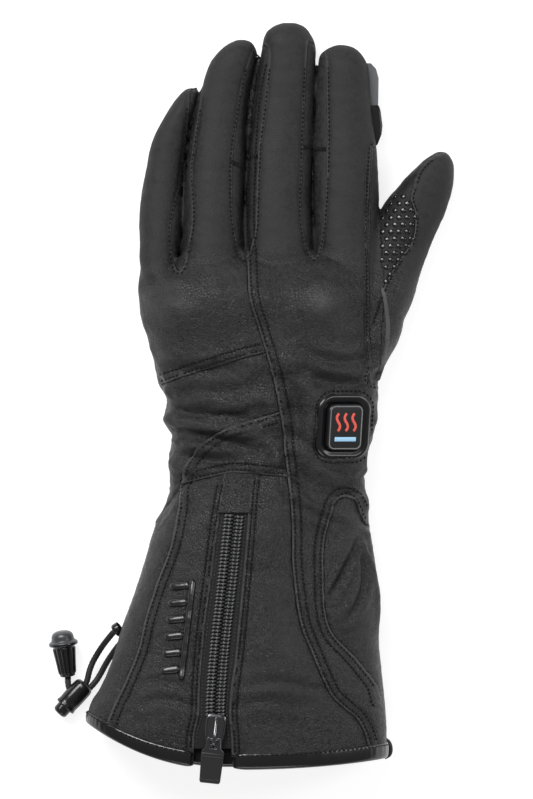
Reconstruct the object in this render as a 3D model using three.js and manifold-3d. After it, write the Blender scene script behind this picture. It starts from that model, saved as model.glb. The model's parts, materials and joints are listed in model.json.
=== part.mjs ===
// A padded leather heated glove, lying palm down with its fingers pointing along +Y and its thumb to +X.
// Millimetres, +Z up. The origin is on the flat underside of the palm, where the wrist begins.
import * as THREE from "three";
import { mergeVertices } from "three/addons/utils/BufferGeometryUtils.js";
import Module from "manifold-3d";

const wasm = await Module();
wasm.setup();

// Driving sizes
const GLOVE_LENGTH = 335; // hem to the tip of the middle finger
const KNUCKLE_WIDTH = 109;
const HAND_HEIGHT = 44; // at the knuckles, palm down
const WALL = 3; // leather, lining and wadding of the hand and the cuff
const FINGER_WALL = 2.6;
const SEAM_GAP = 0.3; // clearance between neighbouring pieces
const ORIGIN_ALONG = 49.3; // percent of the length from the hem to the origin
const REACH = 400; // longer than the glove, for cutting prisms

const BINDING_WIDTH = 7;
const BINDING_PROUD = 0.6;
const HEM_RISE_LITTLE = 20; // how far the hem climbs on the little finger's side
const HEM_RISE_INDEX = 4.5;
const CROTCH_DROP = 5; // the web beside the little finger sits lower than the others
// Where these shapes change. Places along and across the glove are in percent, as in the tables.
const HEM_FADE = 33; // the hem's climb has died out here
const HEM_LOWEST = -12.8;
const HEM_REACH_LITTLE = 59.1;
const HEM_REACH_INDEX = 64;
const HEM_CURVE = 2.2;
const WEB_START = 62;
const WEB_SPAN = 7;
const WEB_EDGE = -31;
const WEB_FADE = 8;
const ROOT_START = 61; // the hand's underside lifts towards the fingers' roots from here
const ROOT_SPAN = 10;
const ROOT_LIFT = 22;
const ROOT_WIDEST_LIFT = 10;
const FLAT_DEPTH = 1.2; // how deep the hand's oval is cut flat where it rests
const NOSE_LENGTH = 11; // a finger rounds off over this length
const NOSE_ROOM = 0.012;

const ZIP_COIL_WIDTH = 4.7;
const ZIP_COIL_PROUD = 0.7;
const ZIP_TAPE_DEPTH = 1.0; // the tape lies this far below the leather
const SLIDER_WIDTH = 9.4;
const SLIDER_LENGTH = 15;
const SLIDER_HEIGHT = 2.8;
const SLIDER_TURN = -6; // degrees, it hangs a little askew on the tape
const CROWN_WIDTH = 2.2;
const CROWN_WINDOW = 2.8;
const CROWN_THICK = 1.1;
const PULL_PIN_RADIUS = 0.8;
const PULL_LENGTH = 20;
const PULL_WIDTH = 10.2;
const PULL_THICK = 1.6;
const PULL_REST_TILT = 5; // degrees down from level, where it lies on the binding

const BUTTON_WIDTH = 20.4;
const BUTTON_LENGTH = 23;
const BUTTON_CORNER = 4;
const BUTTON_THICK = 3.4;
const BUTTON_TRAVEL = 0.7;
const BEZEL_RIM = 2.6;
const BEZEL_FLOOR = 1.2;
const BEZEL_SINK = 3.1; // how deep the bezel sits below the leather

const WIPER_THICK = 2.6;
const WIPER_HEIGHT = 13; // of its middle above the surface that the glove lies on

const CORD_DIAMETER = 2.8;
const EYELET_RADIUS = 3;
const EYELET_DEPTH = 3;
const LOCK_RADIUS = 4.8;
const LOCK_LENGTH = 14;
const LOCK_WALL = 1.1;
const PLUNGER_LENGTH = 9;
const PLUNGER_SHOWS = 4.2;
const PLUNGER_TRAVEL = 3;
const BELL_LENGTH = 21;
const BELL_FLANGE_RADIUS = 6.6;
const BELL_TOP_RADIUS = 5;
const BELL_MOUTH_RADIUS = 3.5;

const BODY_SIDES = 24;
const FINGER_SIDES = 12;
const THUMB_SIDES = 12;
const LINING_SIDES = 16; // the inside of the hand and cuff
const FINGER_LINING_SIDES = 8;

// Sections of the cuff and hand from hem to finger roots. along: percent of the glove's length;
// little and index: where each side lies, in percent of the knuckle width; top: percent of the hand's height.
const BODY = [
  { along: 0.0, little: -71.9, index: 51.2, top: 114 },
  { along: 3.0, little: -71.1, index: 51.4, top: 115 },
  { along: 7.0, little: -66.5, index: 50.8, top: 115 },
  { along: 11.7, little: -62.0, index: 49.6, top: 114 },
  { along: 17.1, little: -57.9, index: 48.1, top: 110 },
  { along: 22.4, little: -52.9, index: 48.3, top: 107 },
  { along: 27.8, little: -48.1, index: 46.5, top: 102 },
  { along: 30.5, little: -45.9, index: 45.0, top: 100 },
  { along: 33.2, little: -43.2, index: 44.0, top: 97 },
  { along: 35.2, little: -40.1, index: 43.4, top: 95 },
  { along: 37.2, little: -38.0, index: 42.4, top: 93 },
  { along: 39.2, little: -38.2, index: 41.9, top: 91 },
  { along: 41.3, little: -38.6, index: 42.4, top: 91 },
  { along: 43.0, little: -37.4, index: 44.2, top: 91 },
  { along: 44.2, little: -36.6, index: 45.2, top: 92 },
  { along: 45.6, little: -39.0, index: 46.3, top: 93 },
  { along: 47.0, little: -40.3, index: 47.3, top: 94 },
  { along: 49.3, little: -39.3, index: 47.7, top: 96 },
  { along: 51.3, little: -42.8, index: 47.7, top: 97 },
  { along: 53.8, little: -44.2, index: 48.3, top: 99 },
  { along: 57.4, little: -46.7, index: 48.8, top: 100 },
  { along: 59.9, little: -49.4, index: 49.2, top: 100 },
  { along: 62.5, little: -50.7, index: 49.4, top: 98 },
  { along: 64.8, little: -50.8, index: 49.6, top: 94 },
  { along: 67.1, little: -50.5, index: 49.2, top: 84 },
  { along: 69.2, little: -50.0, index: 48.8, top: 66 },
];

// Outlines of the fingers from inside the hand to the tip, in the same percents.
const FINGERS = {
  little: {
    rootTop: 71, tipTop: 50, rootUnder: 20,
    rows: [
      { along: 62.0, little: -46.6, index: -38.1 },
      { along: 67.5, little: -50.3, index: -34.9 },
      { along: 73.5, little: -50.6, index: -32.9 },
      { along: 80.2, little: -47.9, index: -32.4 },
      { along: 86.0, little: -42.4, index: -30.0 },
      { along: 88.4, little: -38.0, index: -27.9 },
      { along: 89.9, little: -34.9, index: -27.0 },
      { along: 90.9, little: -32.2, index: -26.4 },
      { along: 91.3, little: -30.3, index: -27.6 },
    ],
  },
  ring: {
    rootTop: 82, tipTop: 52, rootUnder: 20,
    rows: [
      { along: 62.0, little: -30.3, index: -10.0 },
      { along: 67.5, little: -33.3, index: -7.6 },
      { along: 72.7, little: -32.2, index: -7.7 },
      { along: 79.2, little: -31.8, index: -7.0 },
      { along: 86.0, little: -29.1, index: -6.1 },
      { along: 89.7, little: -26.2, index: -5.2 },
      { along: 94.2, little: -21.9, index: -2.9 },
      { along: 96.0, little: -18.2, index: -2.3 },
      { along: 97.3, little: -13.2, index: -4.0 },
      { along: 97.7, little: -10.3, index: -6.5 },
    ],
  },
  middle: {
    rootTop: 84, tipTop: 53, rootUnder: 20,
    rows: [
      { along: 62.0, little: -3.2, index: 18.1 },
      { along: 67.5, little: -6.4, index: 20.6 },
      { along: 72.2, little: -6.8, index: 20.6 },
      { along: 79.2, little: -6.1, index: 20.3 },
      { along: 86.0, little: -5.1, index: 21.0 },
      { along: 89.4, little: -4.1, index: 21.4 },
      { along: 95.3, little: -0.6, index: 22.1 },
      { along: 97.2, little: 0.4, index: 21.9 },
      { along: 98.7, little: 1.9, index: 19.8 },
      { along: 99.6, little: 5.4, index: 17.2 },
      { along: 100.0, little: 8.7, index: 14.0 },
    ],
  },
  index: {
    rootTop: 76, tipTop: 52, rootUnder: 20,
    rows: [
      { along: 62.0, little: 24.9, index: 45.8 },
      { along: 67.5, little: 22.1, index: 48.7 },
      { along: 72.2, little: 21.6, index: 48.3 },
      { along: 80.2, little: 21.4, index: 47.9 },
      { along: 83.3, little: 21.7, index: 47.3 },
      { along: 87.1, little: 22.1, index: 45.6 },
      { along: 91.7, little: 22.7, index: 44.2 },
      { along: 94.4, little: 23.3, index: 43.4 },
      { along: 95.8, little: 24.2, index: 40.9 },
      { along: 96.6, little: 27.3, index: 38.0 },
      { along: 97.0, little: 30.3, index: 34.5 },
    ],
  },
};
const THUMB = {
  rootTop: 74, tipTop: 56, rootUnder: 0,
  rows: [
    { along: 50.5, little: 28.1, index: 41.0 },
    { along: 55.9, little: 27.3, index: 54.1 },
    { along: 59.8, little: 28.9, index: 58.3 },
    { along: 63.6, little: 32.2, index: 62.8 },
    { along: 66.4, little: 35.5, index: 65.3 },
    { along: 71.6, little: 43.0, index: 71.3 },
    { along: 76.2, little: 51.7, index: 77.3 },
    { along: 79.3, little: 59.9, index: 79.3 },
    { along: 80.6, little: 64.0, index: 79.3 },
    { along: 82.4, little: 70.5, index: 77.3 },
    { along: 82.8, little: 72.7, index: 75.6 },
  ],
};

// Rises and hollows of the back of the hand. across and along: the middle, in percent as above;
// wide and long: half sizes in percent of the knuckle width; turn: degrees; lift: percent of the hand's height.
const RELIEF = [
  { across: -35.5, along: 62.5, wide: 11, long: 12, turn: 0, lift: 7 },
  { across: -18.5, along: 62.8, wide: 10, long: 12, turn: 0, lift: 7 },
  { across: 0.5, along: 63.0, wide: 10, long: 12, turn: 0, lift: 7 },
  { across: 24.0, along: 62.8, wide: 13, long: 14, turn: 0, lift: 9 },
  { across: -22, along: 50.5, wide: 22, long: 5, turn: 12, lift: -4.5 },
  { across: -18, along: 47.4, wide: 20, long: 4, turn: 14, lift: 3 },
  { across: -6, along: 42.6, wide: 20, long: 4.5, turn: 10, lift: -4.5 },
  { across: 16, along: 44.6, wide: 8, long: 12, turn: -30, lift: 3 },
  { across: 30, along: 39.2, wide: 14, long: 5, turn: -12, lift: -5 },
  { across: 14, along: 38.0, wide: 12, long: 5, turn: 20, lift: 3 },
  { across: 24, along: 31.0, wide: 12, long: 9, turn: -30, lift: -3 },
  { across: -36, along: 30.0, wide: 8, long: 14, turn: -20, lift: 3 },
  { across: -30, along: 12.0, wide: 10, long: 16, turn: -15, lift: -2.5 },
  { across: 10, along: 16.0, wide: 18, long: 20, turn: 0, lift: 2.5 },
];

// Seams of the back, each a line of [across, along] points in percent.
const CENTRAL_SEAM = [
  [0, 99], [-1.2, 96], [-4, 91], [-5.7, 86], [-6.7, 79], [-7.1, 73], [-6.3, 69.6], [-6.0, 67.5], [-5.0, 62.9],
  [-0.8, 58.3], [4.5, 52.4], [8.4, 45.8], [9.1, 43.1], [11.3, 37.1], [12.4, 32.5], [12.7, 26.9], [15.5, 20.0],
  [20.1, 15.9], [27.7, 10.3], [33.1, 8.3], [38.8, 6.7], [41.9, 5.0], [43.8, 3.0], [44.6, -0.4],
];
const KNUCKLE_CROSS_SEAM = [[0.3, 55.6], [-7.4, 55.0], [-23.6, 53.4], [-37.6, 51.9], [-42.8, 51.3]];
const WRIST_ARC_SEAM = [[5.8, 47.6], [0.4, 47.0], [-15.1, 45.4], [-25.6, 43.1], [-31.4, 40.5], [-33.9, 37.9]];
const WRIST_CROSS_SEAM = [[7.2, 39.1], [-10.3, 39.6], [-18.6, 39.2], [-33.9, 38.0]];
const CUFF_SIDE_SEAM = [
  [-33.9, 37.9], [-34.8, 34.3], [-37.6, 29.8], [-43.4, 24.7], [-47.8, 20.2], [-51.0, 15.9], [-56.2, 11.6],
  [-62.0, 7.5], [-66.0, 3.6],
];
const ZIP_LITTLE_LINE = [
  [-14.9, 38.4], [-16.2, 36.4], [-18.7, 31.2], [-20.8, 25.7], [-23.6, 18.8], [-25.6, 11.3], [-26.0, 7.3], [-27.7, 4.7],
];
const ZIP_INDEX_LINE = [
  [-4.3, 38.4], [-5.0, 36.4], [-6.4, 30.6], [-8.3, 23.8], [-11.0, 14.8], [-12.6, 11.2], [-13.4, 7.3], [-12.6, 4.2],
];
const ZIP_MIDDLE = [
  [-9.6, 38.4], [-10.6, 36.4], [-12.5, 31.0], [-14.5, 24.8], [-17.3, 16.8], [-18.8, 11.2], [-19.3, 7.3], [-19.3, -2],
];
const POCKET_SEAM = [
  [34.1, 36.4], [30.6, 35.8], [28.5, 34.1], [25.6, 30.2], [25.3, 25.7], [26.0, 21.1], [29.2, 18.0], [38.3, 14.8],
  [46.7, 11.3], [52.0, 8.5], [80, 8.5], [80, 32.5], [46, 32.5], [41.7, 33.2], [39.7, 34.8], [37.6, 36.0],
];
const INDEX_SIDE_SEAM = [
  [45.2, 83.3], [44.1, 76.9], [43.2, 71.1], [44.0, 67.2], [44.0, 58.2], [45.0, 54.3], [46.2, 51.3], [80, 51.3], [80, 83.3],
];
const THUMB_SEAM = [
  [75.4, 84], [75.0, 82.8], [73.6, 82.3], [69.4, 81.6], [65.0, 80.0], [62.5, 77.6], [61.4, 76.2], [63.2, 74.2],
  [62.0, 70.8], [56.2, 67.9], [50.8, 64.8], [45.5, 60.1], [40.0, 53.0], [37, 49],
];
// The strips between the fingers: down one finger's seam, round the crotch and up the next one's.
const FOURCHETTES = {
  fourchette_little_ring: [
    [-29.6, 91], [-31.8, 82.9], [-33.6, 78.0], [-35.5, 75.7], [-37.4, 72.7], [-37.4, 69.8], [-36.4, 67.6], [-34.6, 66.4],
    [-32.4, 67.2], [-30.6, 69.9], [-29.0, 72.7], [-29.0, 75.7], [-29.8, 80.2], [-28.4, 83.7], [-25.4, 91],
  ],
  fourchette_ring_middle: [
    [-3.0, 96.6], [-7.0, 92.3], [-10.6, 85.8], [-12.3, 81.2], [-12.3, 75.7], [-11.6, 72.7], [-9.8, 69.5], [-7.2, 68.2],
    [-4.6, 69.5], [-2.6, 72.3], [-2.2, 75.7], [-1.2, 83.7], [1.2, 90.3], [2.6, 96.6],
  ],
  fourchette_middle_index: [
    [19.0, 97.6], [18.2, 92.9], [17.0, 82.5], [16.3, 75.7], [16.8, 72.3], [19.0, 69.5], [21.2, 68.2], [23.4, 69.5],
    [25.4, 73.5], [26.8, 81.5], [26.8, 89.4], [25.8, 95.8],
  ],
};
// Where the back meets the palm along the glove's sides: height in percent of the hand's height.
const SIDE_SPLIT = [
  { along: -10, height: 44 }, { along: 20, height: 42 }, { along: 38, height: 36 }, { along: 60, height: 36 },
  { along: 70, height: 42 }, { along: 78, height: 34 }, { along: 90, height: 26 }, { along: 110, height: 22 },
];
// A plain raised comb on the cuff: its spine, and the rows of bars that lean against it.
const COMB = {
  spine: [[-27.6, 25.6], [-32.6, 11.6], [-34.4, 11.6], [-29.4, 25.6]],
  bars: 6, first: 13.1, last: 24.3, barWidth: 2.2, inner: [-34.5, 12, -29.8, 25], outer: [-42.4, 12, -38.2, 25],
};
// The elastic drawcord's route on the surface that the glove lies on: across, along, and height in millimetres.
const CORD_ROUTE = [
  [-60.4, 18.3, 13], [-61.6, 18.0, 12.6], [-63.6, 17.2, 10.5], [-66.0, 16.2, 7.5], [-68.2, 15.1, 5.2], [-70.2, 13.9, 4.4],
  [-71.5, 12.8, 4.6], [-72.2, 11.3, 4.9],
];
const CORD_TAIL = [[-80.3, 11.15, 4.6], [-80.3, 11.5, 4.2], [-80.3, 11.9, 3.8]];

const across = (percent) => (percent / 100) * KNUCKLE_WIDTH;
const along = (percent) => ((percent - ORIGIN_ALONG) / 100) * GLOVE_LENGTH;
const height = (percent) => (percent / 100) * HAND_HEIGHT;
const place = ([a, l]) => [across(a), along(l)];
const smooth = (t) => {
  const c = Math.min(Math.max(t, 0), 1);
  return c * c * (3 - 2 * c);
};

// The value of one column at a place along the glove, on a smooth curve through the rows.
function column(rows, key, at) {
  const last = rows.length - 1;
  if (at <= rows[0].along) return rows[0][key];
  if (at >= rows[last].along) return rows[last][key];
  let i = 0;
  while (rows[i + 1].along < at) i++;
  const slope = (k) => {
    const a = rows[Math.max(k - 1, 0)];
    const b = rows[Math.min(k + 1, last)];
    return (b[key] - a[key]) / (b.along - a.along);
  };
  const step = rows[i + 1].along - rows[i].along;
  const t = (at - rows[i].along) / step;
  return (
    rows[i][key] * (1 + 2 * t) * (1 - t) ** 2 +
    rows[i + 1][key] * (3 - 2 * t) * t * t +
    slope(i) * step * t * (1 - t) ** 2 +
    slope(i + 1) * step * t * t * (t - 1)
  );
}

// A closed mesh as a solid that can be cut and joined.
function solid(geometry) {
  const bare = geometry.clone();
  bare.deleteAttribute("normal");
  bare.deleteAttribute("uv");
  const merged = mergeVertices(bare, 1e-4);
  const mesh = new wasm.Mesh({
    numProp: 3,
    vertProperties: new Float32Array(merged.attributes.position.array),
    triVerts: new Uint32Array(merged.index.array),
  });
  return new wasm.Manifold(mesh);
}

// A solid back as a geometry, without crumbs that a cut left beside its one main body.
function geometryOf(made) {
  const bodies = made.decompose();
  const main = bodies.reduce((a, b) => (b.volume() > a.volume() ? b : a));
  const { vertProperties, triVerts, numProp, numVert } = main.getMesh();
  const points = new Float32Array(numVert * 3);
  for (let i = 0; i < numVert; i++)
    points.set(vertProperties.subarray(i * numProp, i * numProp + 3), i * 3);
  return new THREE.BufferGeometry()
    .setAttribute("position", new THREE.BufferAttribute(points, 3))
    .setIndex(new THREE.BufferAttribute(new Uint32Array(triVerts), 1));
}

// A closed skin over rings of points, each ring the same length, with a flat cap at both ends.
function skin(rings) {
  const sides = rings[0].length;
  const points = rings.flat(2);
  const faces = [];
  for (let r = 0; r + 1 < rings.length; r++)
    for (let s = 0; s < sides; s++) {
      const a = r * sides + s;
      const b = r * sides + ((s + 1) % sides);
      faces.push(a, a + sides, b, b, a + sides, b + sides);
    }
  for (const [ring, end] of [[0, false], [rings.length - 1, true]]) {
    const centre = points.length / 3;
    const sum = rings[ring].reduce((t, p) => t.map((v, k) => v + p[k] / sides), [0, 0, 0]);
    points.push(...sum);
    for (let s = 0; s < sides; s++) {
      const a = ring * sides + s;
      const b = ring * sides + ((s + 1) % sides);
      faces.push(...(end ? [centre, b, a] : [centre, a, b]));
    }
  }
  return solid(
    new THREE.BufferGeometry()
      .setAttribute("position", new THREE.Float32BufferAttribute(points, 3))
      .setIndex(faces),
  );
}

// A rounded section: a flattened oval, fuller below its widest height than above, cut flat where it rests.
function ring({ left, right, top, under, widest, upper, lower, sides, floor }) {
  const middle = (left + right) / 2;
  const half = Math.max((right - left) / 2, 0.2);
  return Array.from({ length: sides }, (_, i) => {
    const angle = (2 * Math.PI * i) / sides;
    const c = Math.cos(angle);
    const s = Math.sin(angle);
    const power = s > 0 ? upper : lower;
    const rise = Math.abs(s) ** (2 / power) * (s > 0 ? top - widest : under - widest);
    const x = middle + half * Math.sign(c) * Math.abs(c) ** (2 / power);
    return [x, Math.max(widest + rise, floor)];
  });
}

const BODY_TOP_POWER = 2.3;
const BODY_LOW_POWER = 3.4;
const WIDEST_SHARE = 0.4;
const FINGER_TOP_POWER = 2.3;
const FINGER_LOW_POWER = 2.6;
const RELIEF_FALL = 1.6;

function bodySection(at) {
  const top = height(column(BODY, "top", at));
  return {
    left: across(column(BODY, "little", at)),
    right: across(column(BODY, "index", at)),
    top,
    under: height(ROOT_LIFT) * smooth((at - ROOT_START) / ROOT_SPAN) - FLAT_DEPTH,
    widest: top * WIDEST_SHARE + height(ROOT_WIDEST_LIFT) * smooth((at - ROOT_START) / ROOT_SPAN),
  };
}

// How far the relief table lifts the back of the hand at a point.
function relief(x, at) {
  let lift = 0;
  for (const r of RELIEF) {
    const dx = x - across(r.across);
    const dy = along(at) - along(r.along);
    const turn = THREE.MathUtils.degToRad(r.turn);
    const u = (dx * Math.cos(turn) + dy * Math.sin(turn)) / across(r.wide);
    const v = (dy * Math.cos(turn) - dx * Math.sin(turn)) / across(r.long);
    lift += height(r.lift) * Math.exp(-(u * u + v * v) * RELIEF_FALL);
  }
  return lift;
}

// The hem climbs towards both sides, and the web climbs from the little finger's side.
function drift(x, at) {
  const hem = 1 - Math.min(Math.max(at / HEM_FADE, 0), 1);
  const seen = x - across(HEM_LOWEST);
  const span = across(seen < 0 ? HEM_REACH_LITTLE : HEM_REACH_INDEX);
  const rise = seen < 0 ? HEM_RISE_LITTLE : HEM_RISE_INDEX;
  const drop = CROTCH_DROP * smooth((at - WEB_START) / WEB_SPAN) * smooth((across(WEB_EDGE) - x) / across(WEB_FADE));
  return rise * hem * Math.min(Math.abs(seen) / span, 1.1) ** HEM_CURVE - drop;
}

// Rings of the cuff and hand, inset from the outer skin, between two places along the glove.
function bodyRings(inset, from, to, thin = 1, sides = BODY_SIDES) {
  const stops = BODY.map((r) => r.along).filter((a, i) => a > from + 0.4 && a < to - 0.4 && i % thin === 0);
  const closes = to >= BODY.at(-1).along;
  return [from, ...stops, to].map((at) => {
    const section = bodySection(at);
    const points = ring({
      left: section.left + inset,
      right: section.right - inset,
      top: section.top - inset,
      under: section.under + inset,
      widest: section.widest,
      upper: BODY_TOP_POWER,
      lower: BODY_LOW_POWER,
      sides,
      floor: Math.max(inset, 0),
    });
    const back = closes ? inset * smooth((at - WEB_START) / WEB_SPAN) : 0;
    const middle = (section.left + section.right) / 2;
    const grown = (section.right - section.left) / (section.right - section.left - 2 * inset);
    return points.map(([x, z]) => {
      const share = (z - section.widest) / (section.top - section.widest);
      const lift = share > 0 ? relief(x, at) * smooth(share * 1.5) : 0;
      const outerX = middle + (x - middle) * grown;
      return [x, along(at) + drift(outerX, at) - back, z + lift];
    });
  });
}

// Rings of a finger or of the thumb, inset from the outer skin.
function fingerRings({ rows, rootTop, tipTop, rootUnder }, inset, sides, thin = 1) {
  const root = rows[0].along;
  const tip = rows.at(-1).along;
  return rows
    .filter((r, i) => i % thin === 0 || i > rows.length - 4)
    .map((row) => {
      const t = (row.along - root) / (tip - root);
      const left = across(row.little);
      const right = across(row.index);
      const nose = Math.min(((tip - row.along) / 100) * GLOVE_LENGTH / NOSE_LENGTH, 1);
      const full = Math.sqrt(Math.max(1 - (1 - nose) ** 2, NOSE_ROOM));
      const top = height(rootTop + (tipTop - rootTop) * smooth(t));
      const under = height(rootUnder) * (1 - smooth(t * 1.5)) + 0.2;
      const mid = (top + under) / 2;
      const half = Math.max(((top - under) / 2) * full - inset, 0.3);
      const room = Math.max((right - left) / 2 - inset, 0.3);
      const centre = (left + right) / 2;
      const back = inset * (1 - nose);
      return ring({
        left: centre - room,
        right: centre + room,
        top: mid + half,
        under: mid - half,
        widest: mid,
        upper: FINGER_TOP_POWER,
        lower: FINGER_LOW_POWER,
        sides,
        floor: Math.max(inset, 0),
      }).map(([x, z]) => [x, along(row.along) - back, z]);
    });
}

// A plan outline as a tall prism.
function prism(points, low = -REACH / 4, high = REACH / 4) {
  const shape = new THREE.Shape(points.map(([x, y]) => new THREE.Vector2(x, y)));
  return solid(
    new THREE.ExtrudeGeometry(shape, { depth: high - low, bevelEnabled: false }).translate(0, 0, low),
  );
}

// A line, or a closed outline, moved sideways: to the right of its direction where distance is positive.
function shifted(points, distance, closed = false) {
  return points.map(([x, y], i) => {
    const n = points.length;
    const before = points[closed ? (i + n - 1) % n : Math.max(i - 1, 0)];
    const after = points[closed ? (i + 1) % n : Math.min(i + 1, n - 1)];
    const length = Math.hypot(after[0] - before[0], after[1] - before[1]);
    return [x + ((after[1] - before[1]) / length) * distance, y - ((after[0] - before[0]) / length) * distance];
  });
}

// The plan area to the west or east of a seam that runs from the fingers to the hem.
function besideSeam(seam, side) {
  const line = shifted(seam.map(place), (-side * SEAM_GAP) / 2);
  const far = side * REACH;
  return prism([[line[0][0], REACH], ...line, [line.at(-1)[0], -REACH], [far, -REACH], [far, REACH]]);
}

// The plan area to the north or south of a seam that runs from the index side to the little finger's side.
function acrossSeam(seam, side) {
  const line = shifted(seam.map(place), (side * SEAM_GAP) / 2);
  const far = side * REACH;
  return prism([[REACH, line[0][1]], ...line, [-REACH, line.at(-1)[1]], [-REACH, far], [REACH, far]]);
}

// A closed plan area, made smaller for the piece itself or larger for the hole it sits in.
// The tables list each outline anticlockwise, so its right-hand side is outside.
function area(outline, grow) {
  return prism(shifted(outline.map(place), grow, true));
}

// Everything above or below the line where the back meets the palm.
function splitSide(side) {
  const line = SIDE_SPLIT.map((r) => [along(r.along), height(r.height) + (side * SEAM_GAP) / 2]);
  const shape = new THREE.Shape(
    [...line, [line.at(-1)[0], side * REACH], [line[0][0], side * REACH]].map(([y, z]) => new THREE.Vector2(y, z)),
  );
  const slab = new THREE.ExtrudeGeometry(shape, { depth: 2 * REACH, bevelEnabled: false });
  slab.rotateY(Math.PI / 2).rotateX(Math.PI / 2).translate(-REACH, 0, 0);
  return solid(slab);
}

// The height and the upward normal of the back of the cuff and hand at a point.
function backHeight(x, y) {
  let at = ORIGIN_ALONG + (y / GLOVE_LENGTH) * 100;
  for (let i = 0; i < 6; i++) at -= ((along(at) + drift(x, at) - y) / GLOVE_LENGTH) * 100;
  const { left, right, top, widest } = bodySection(at);
  const share = Math.abs(x - (left + right) / 2) / ((right - left) / 2);
  const rise = (1 - Math.min(share, 1) ** BODY_TOP_POWER) ** (1 / BODY_TOP_POWER);
  return widest + (top - widest) * rise + relief(x, at) * smooth(rise * 1.5);
}
function backNormal(x, y) {
  const step = 6;
  const dx = (backHeight(x + step, y) - backHeight(x - step, y)) / (2 * step);
  const dy = (backHeight(x, y + step) - backHeight(x, y - step)) / (2 * step);
  return new THREE.Vector3(-dx, -dy, 1).normalize();
}

// Skins of the whole glove
const BINDING_TOP = (BINDING_WIDTH / GLOVE_LENGTH) * 100;
const SHELL_START = ((BINDING_WIDTH + SEAM_GAP) / GLOVE_LENGTH) * 100;
const BODY_END = BODY.at(-1).along;
const digits = Object.values(FINGERS);
const handOuter = (inset, from) =>
  digits.reduce((sum, d) => sum.add(skin(fingerRings(d, inset, FINGER_SIDES))), skin(bodyRings(inset, from, BODY_END)));
const handInner = digits.reduce(
  (sum, d) => sum.add(skin(fingerRings(d, FINGER_WALL, FINGER_LINING_SIDES, 2))),
  skin(bodyRings(WALL, -4, BODY_END, 3, LINING_SIDES)),
);
const thumbInner = skin(fingerRings(THUMB, FINGER_WALL, FINGER_LINING_SIDES, 2));
const shell = handOuter(0, SHELL_START).subtract(handInner).subtract(thumbInner);
const back = shell.intersect(splitSide(1));
const front = shell.intersect(splitSide(-1));

// Materials
const finish = (color, roughness, metalness = 0) => new THREE.MeshStandardMaterial({ color, roughness, metalness });
const LEATHER = finish(0x2b2b2c, 0.62);
const GLOSS_LEATHER = finish(0x1a1a1b, 0.35);
const GREY_RUBBER = finish(0x55575a, 0.5);
const NYLON = finish(0x1c1c1d, 0.7);
const METAL = finish(0x3a3a3d, 0.3, 0.9);
const PLASTIC = finish(0x141415, 0.35);

const glove = new THREE.Group();
function piece(name, made, material, parent = glove) {
  const mesh = new THREE.Mesh(made.isBufferGeometry ? made : geometryOf(made), material);
  mesh.name = name;
  parent.add(mesh);
  return mesh;
}

// Fourchettes and the index finger's side strip
const fourchetteHoles = Object.values(FOURCHETTES).map((outline) => area(outline, SEAM_GAP / 2));
for (const [name, outline] of Object.entries(FOURCHETTES))
  piece(name, back.intersect(area(outline, -SEAM_GAP / 2)), LEATHER);
piece("index_side_strip", back.intersect(area(INDEX_SIDE_SEAM, -SEAM_GAP / 2)), LEATHER);

// Button: a tray sunk into the back, with a cap that slides in it
const BUTTON_AT = place([33.5, 45.7]);
const button = new THREE.Group();
const buttonNormal = backNormal(...BUTTON_AT);
button.position.set(...BUTTON_AT, backHeight(...BUTTON_AT)).addScaledVector(buttonNormal, -BEZEL_SINK);
const sideways = new THREE.Vector3(0, 1, 0).cross(buttonNormal).normalize();
const upward = buttonNormal.clone().cross(sideways);
button.quaternion.setFromRotationMatrix(new THREE.Matrix4().makeBasis(sideways, upward, buttonNormal));
button.updateMatrixWorld(true);

function roundedBox(width, length, corner, thick, low, bevel = 0) {
  const w = width / 2 - bevel;
  const l = length / 2 - bevel;
  const shape = new THREE.Shape();
  const r = Math.max(corner - bevel, 0.2);
  shape.absarc(w - r, l - r, r, 0, Math.PI / 2);
  shape.absarc(r - w, l - r, r, Math.PI / 2, Math.PI);
  shape.absarc(r - w, r - l, r, Math.PI, 1.5 * Math.PI);
  shape.absarc(w - r, r - l, r, 1.5 * Math.PI, 2 * Math.PI);
  const made = new THREE.ExtrudeGeometry(shape, {
    depth: thick - bevel,
    bevelEnabled: bevel > 0,
    bevelSize: bevel,
    bevelThickness: bevel,
    bevelSegments: 1,
    curveSegments: 3,
  });
  if (bevel === 0) return solid(made.translate(0, 0, low));
  const cut = solid(roundedSlab(width + 2, length + 2, bevel + 1, -bevel - 1));
  return solid(made).subtract(cut).transform(new THREE.Matrix4().makeTranslation(0, 0, low).toArray());
}
function roundedSlab(width, length, thick, low) {
  return new THREE.BoxGeometry(width, length, thick).translate(0, 0, low + thick / 2);
}
const bezelWidth = BUTTON_WIDTH + 2 * (BEZEL_RIM + SEAM_GAP);
const bezelLength = BUTTON_LENGTH + 2 * (BEZEL_RIM + SEAM_GAP);
const bezelHigh = BEZEL_SINK + 0.8;
const bezel = roundedBox(bezelWidth, bezelLength, BUTTON_CORNER + BEZEL_RIM, bezelHigh, 0, 0.8).subtract(
  roundedBox(BUTTON_WIDTH + 2 * SEAM_GAP, BUTTON_LENGTH + 2 * SEAM_GAP, BUTTON_CORNER, bezelHigh, BEZEL_FLOOR),
);
const cap = roundedBox(BUTTON_WIDTH, BUTTON_LENGTH, BUTTON_CORNER, BUTTON_THICK, 0, 0.9);
const capMesh = piece("button_cap", cap, PLASTIC, button);
capMesh.position.z = BEZEL_FLOOR + SEAM_GAP + BUTTON_TRAVEL;
piece("button_bezel", bezel, PLASTIC, button);
glove.add(button);
const buttonHole = roundedBox(
  bezelWidth + 2 * SEAM_GAP, bezelLength + 2 * SEAM_GAP, BUTTON_CORNER + BEZEL_RIM, REACH / 10, -SEAM_GAP,
).transform(button.matrixWorld.toArray());

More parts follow.
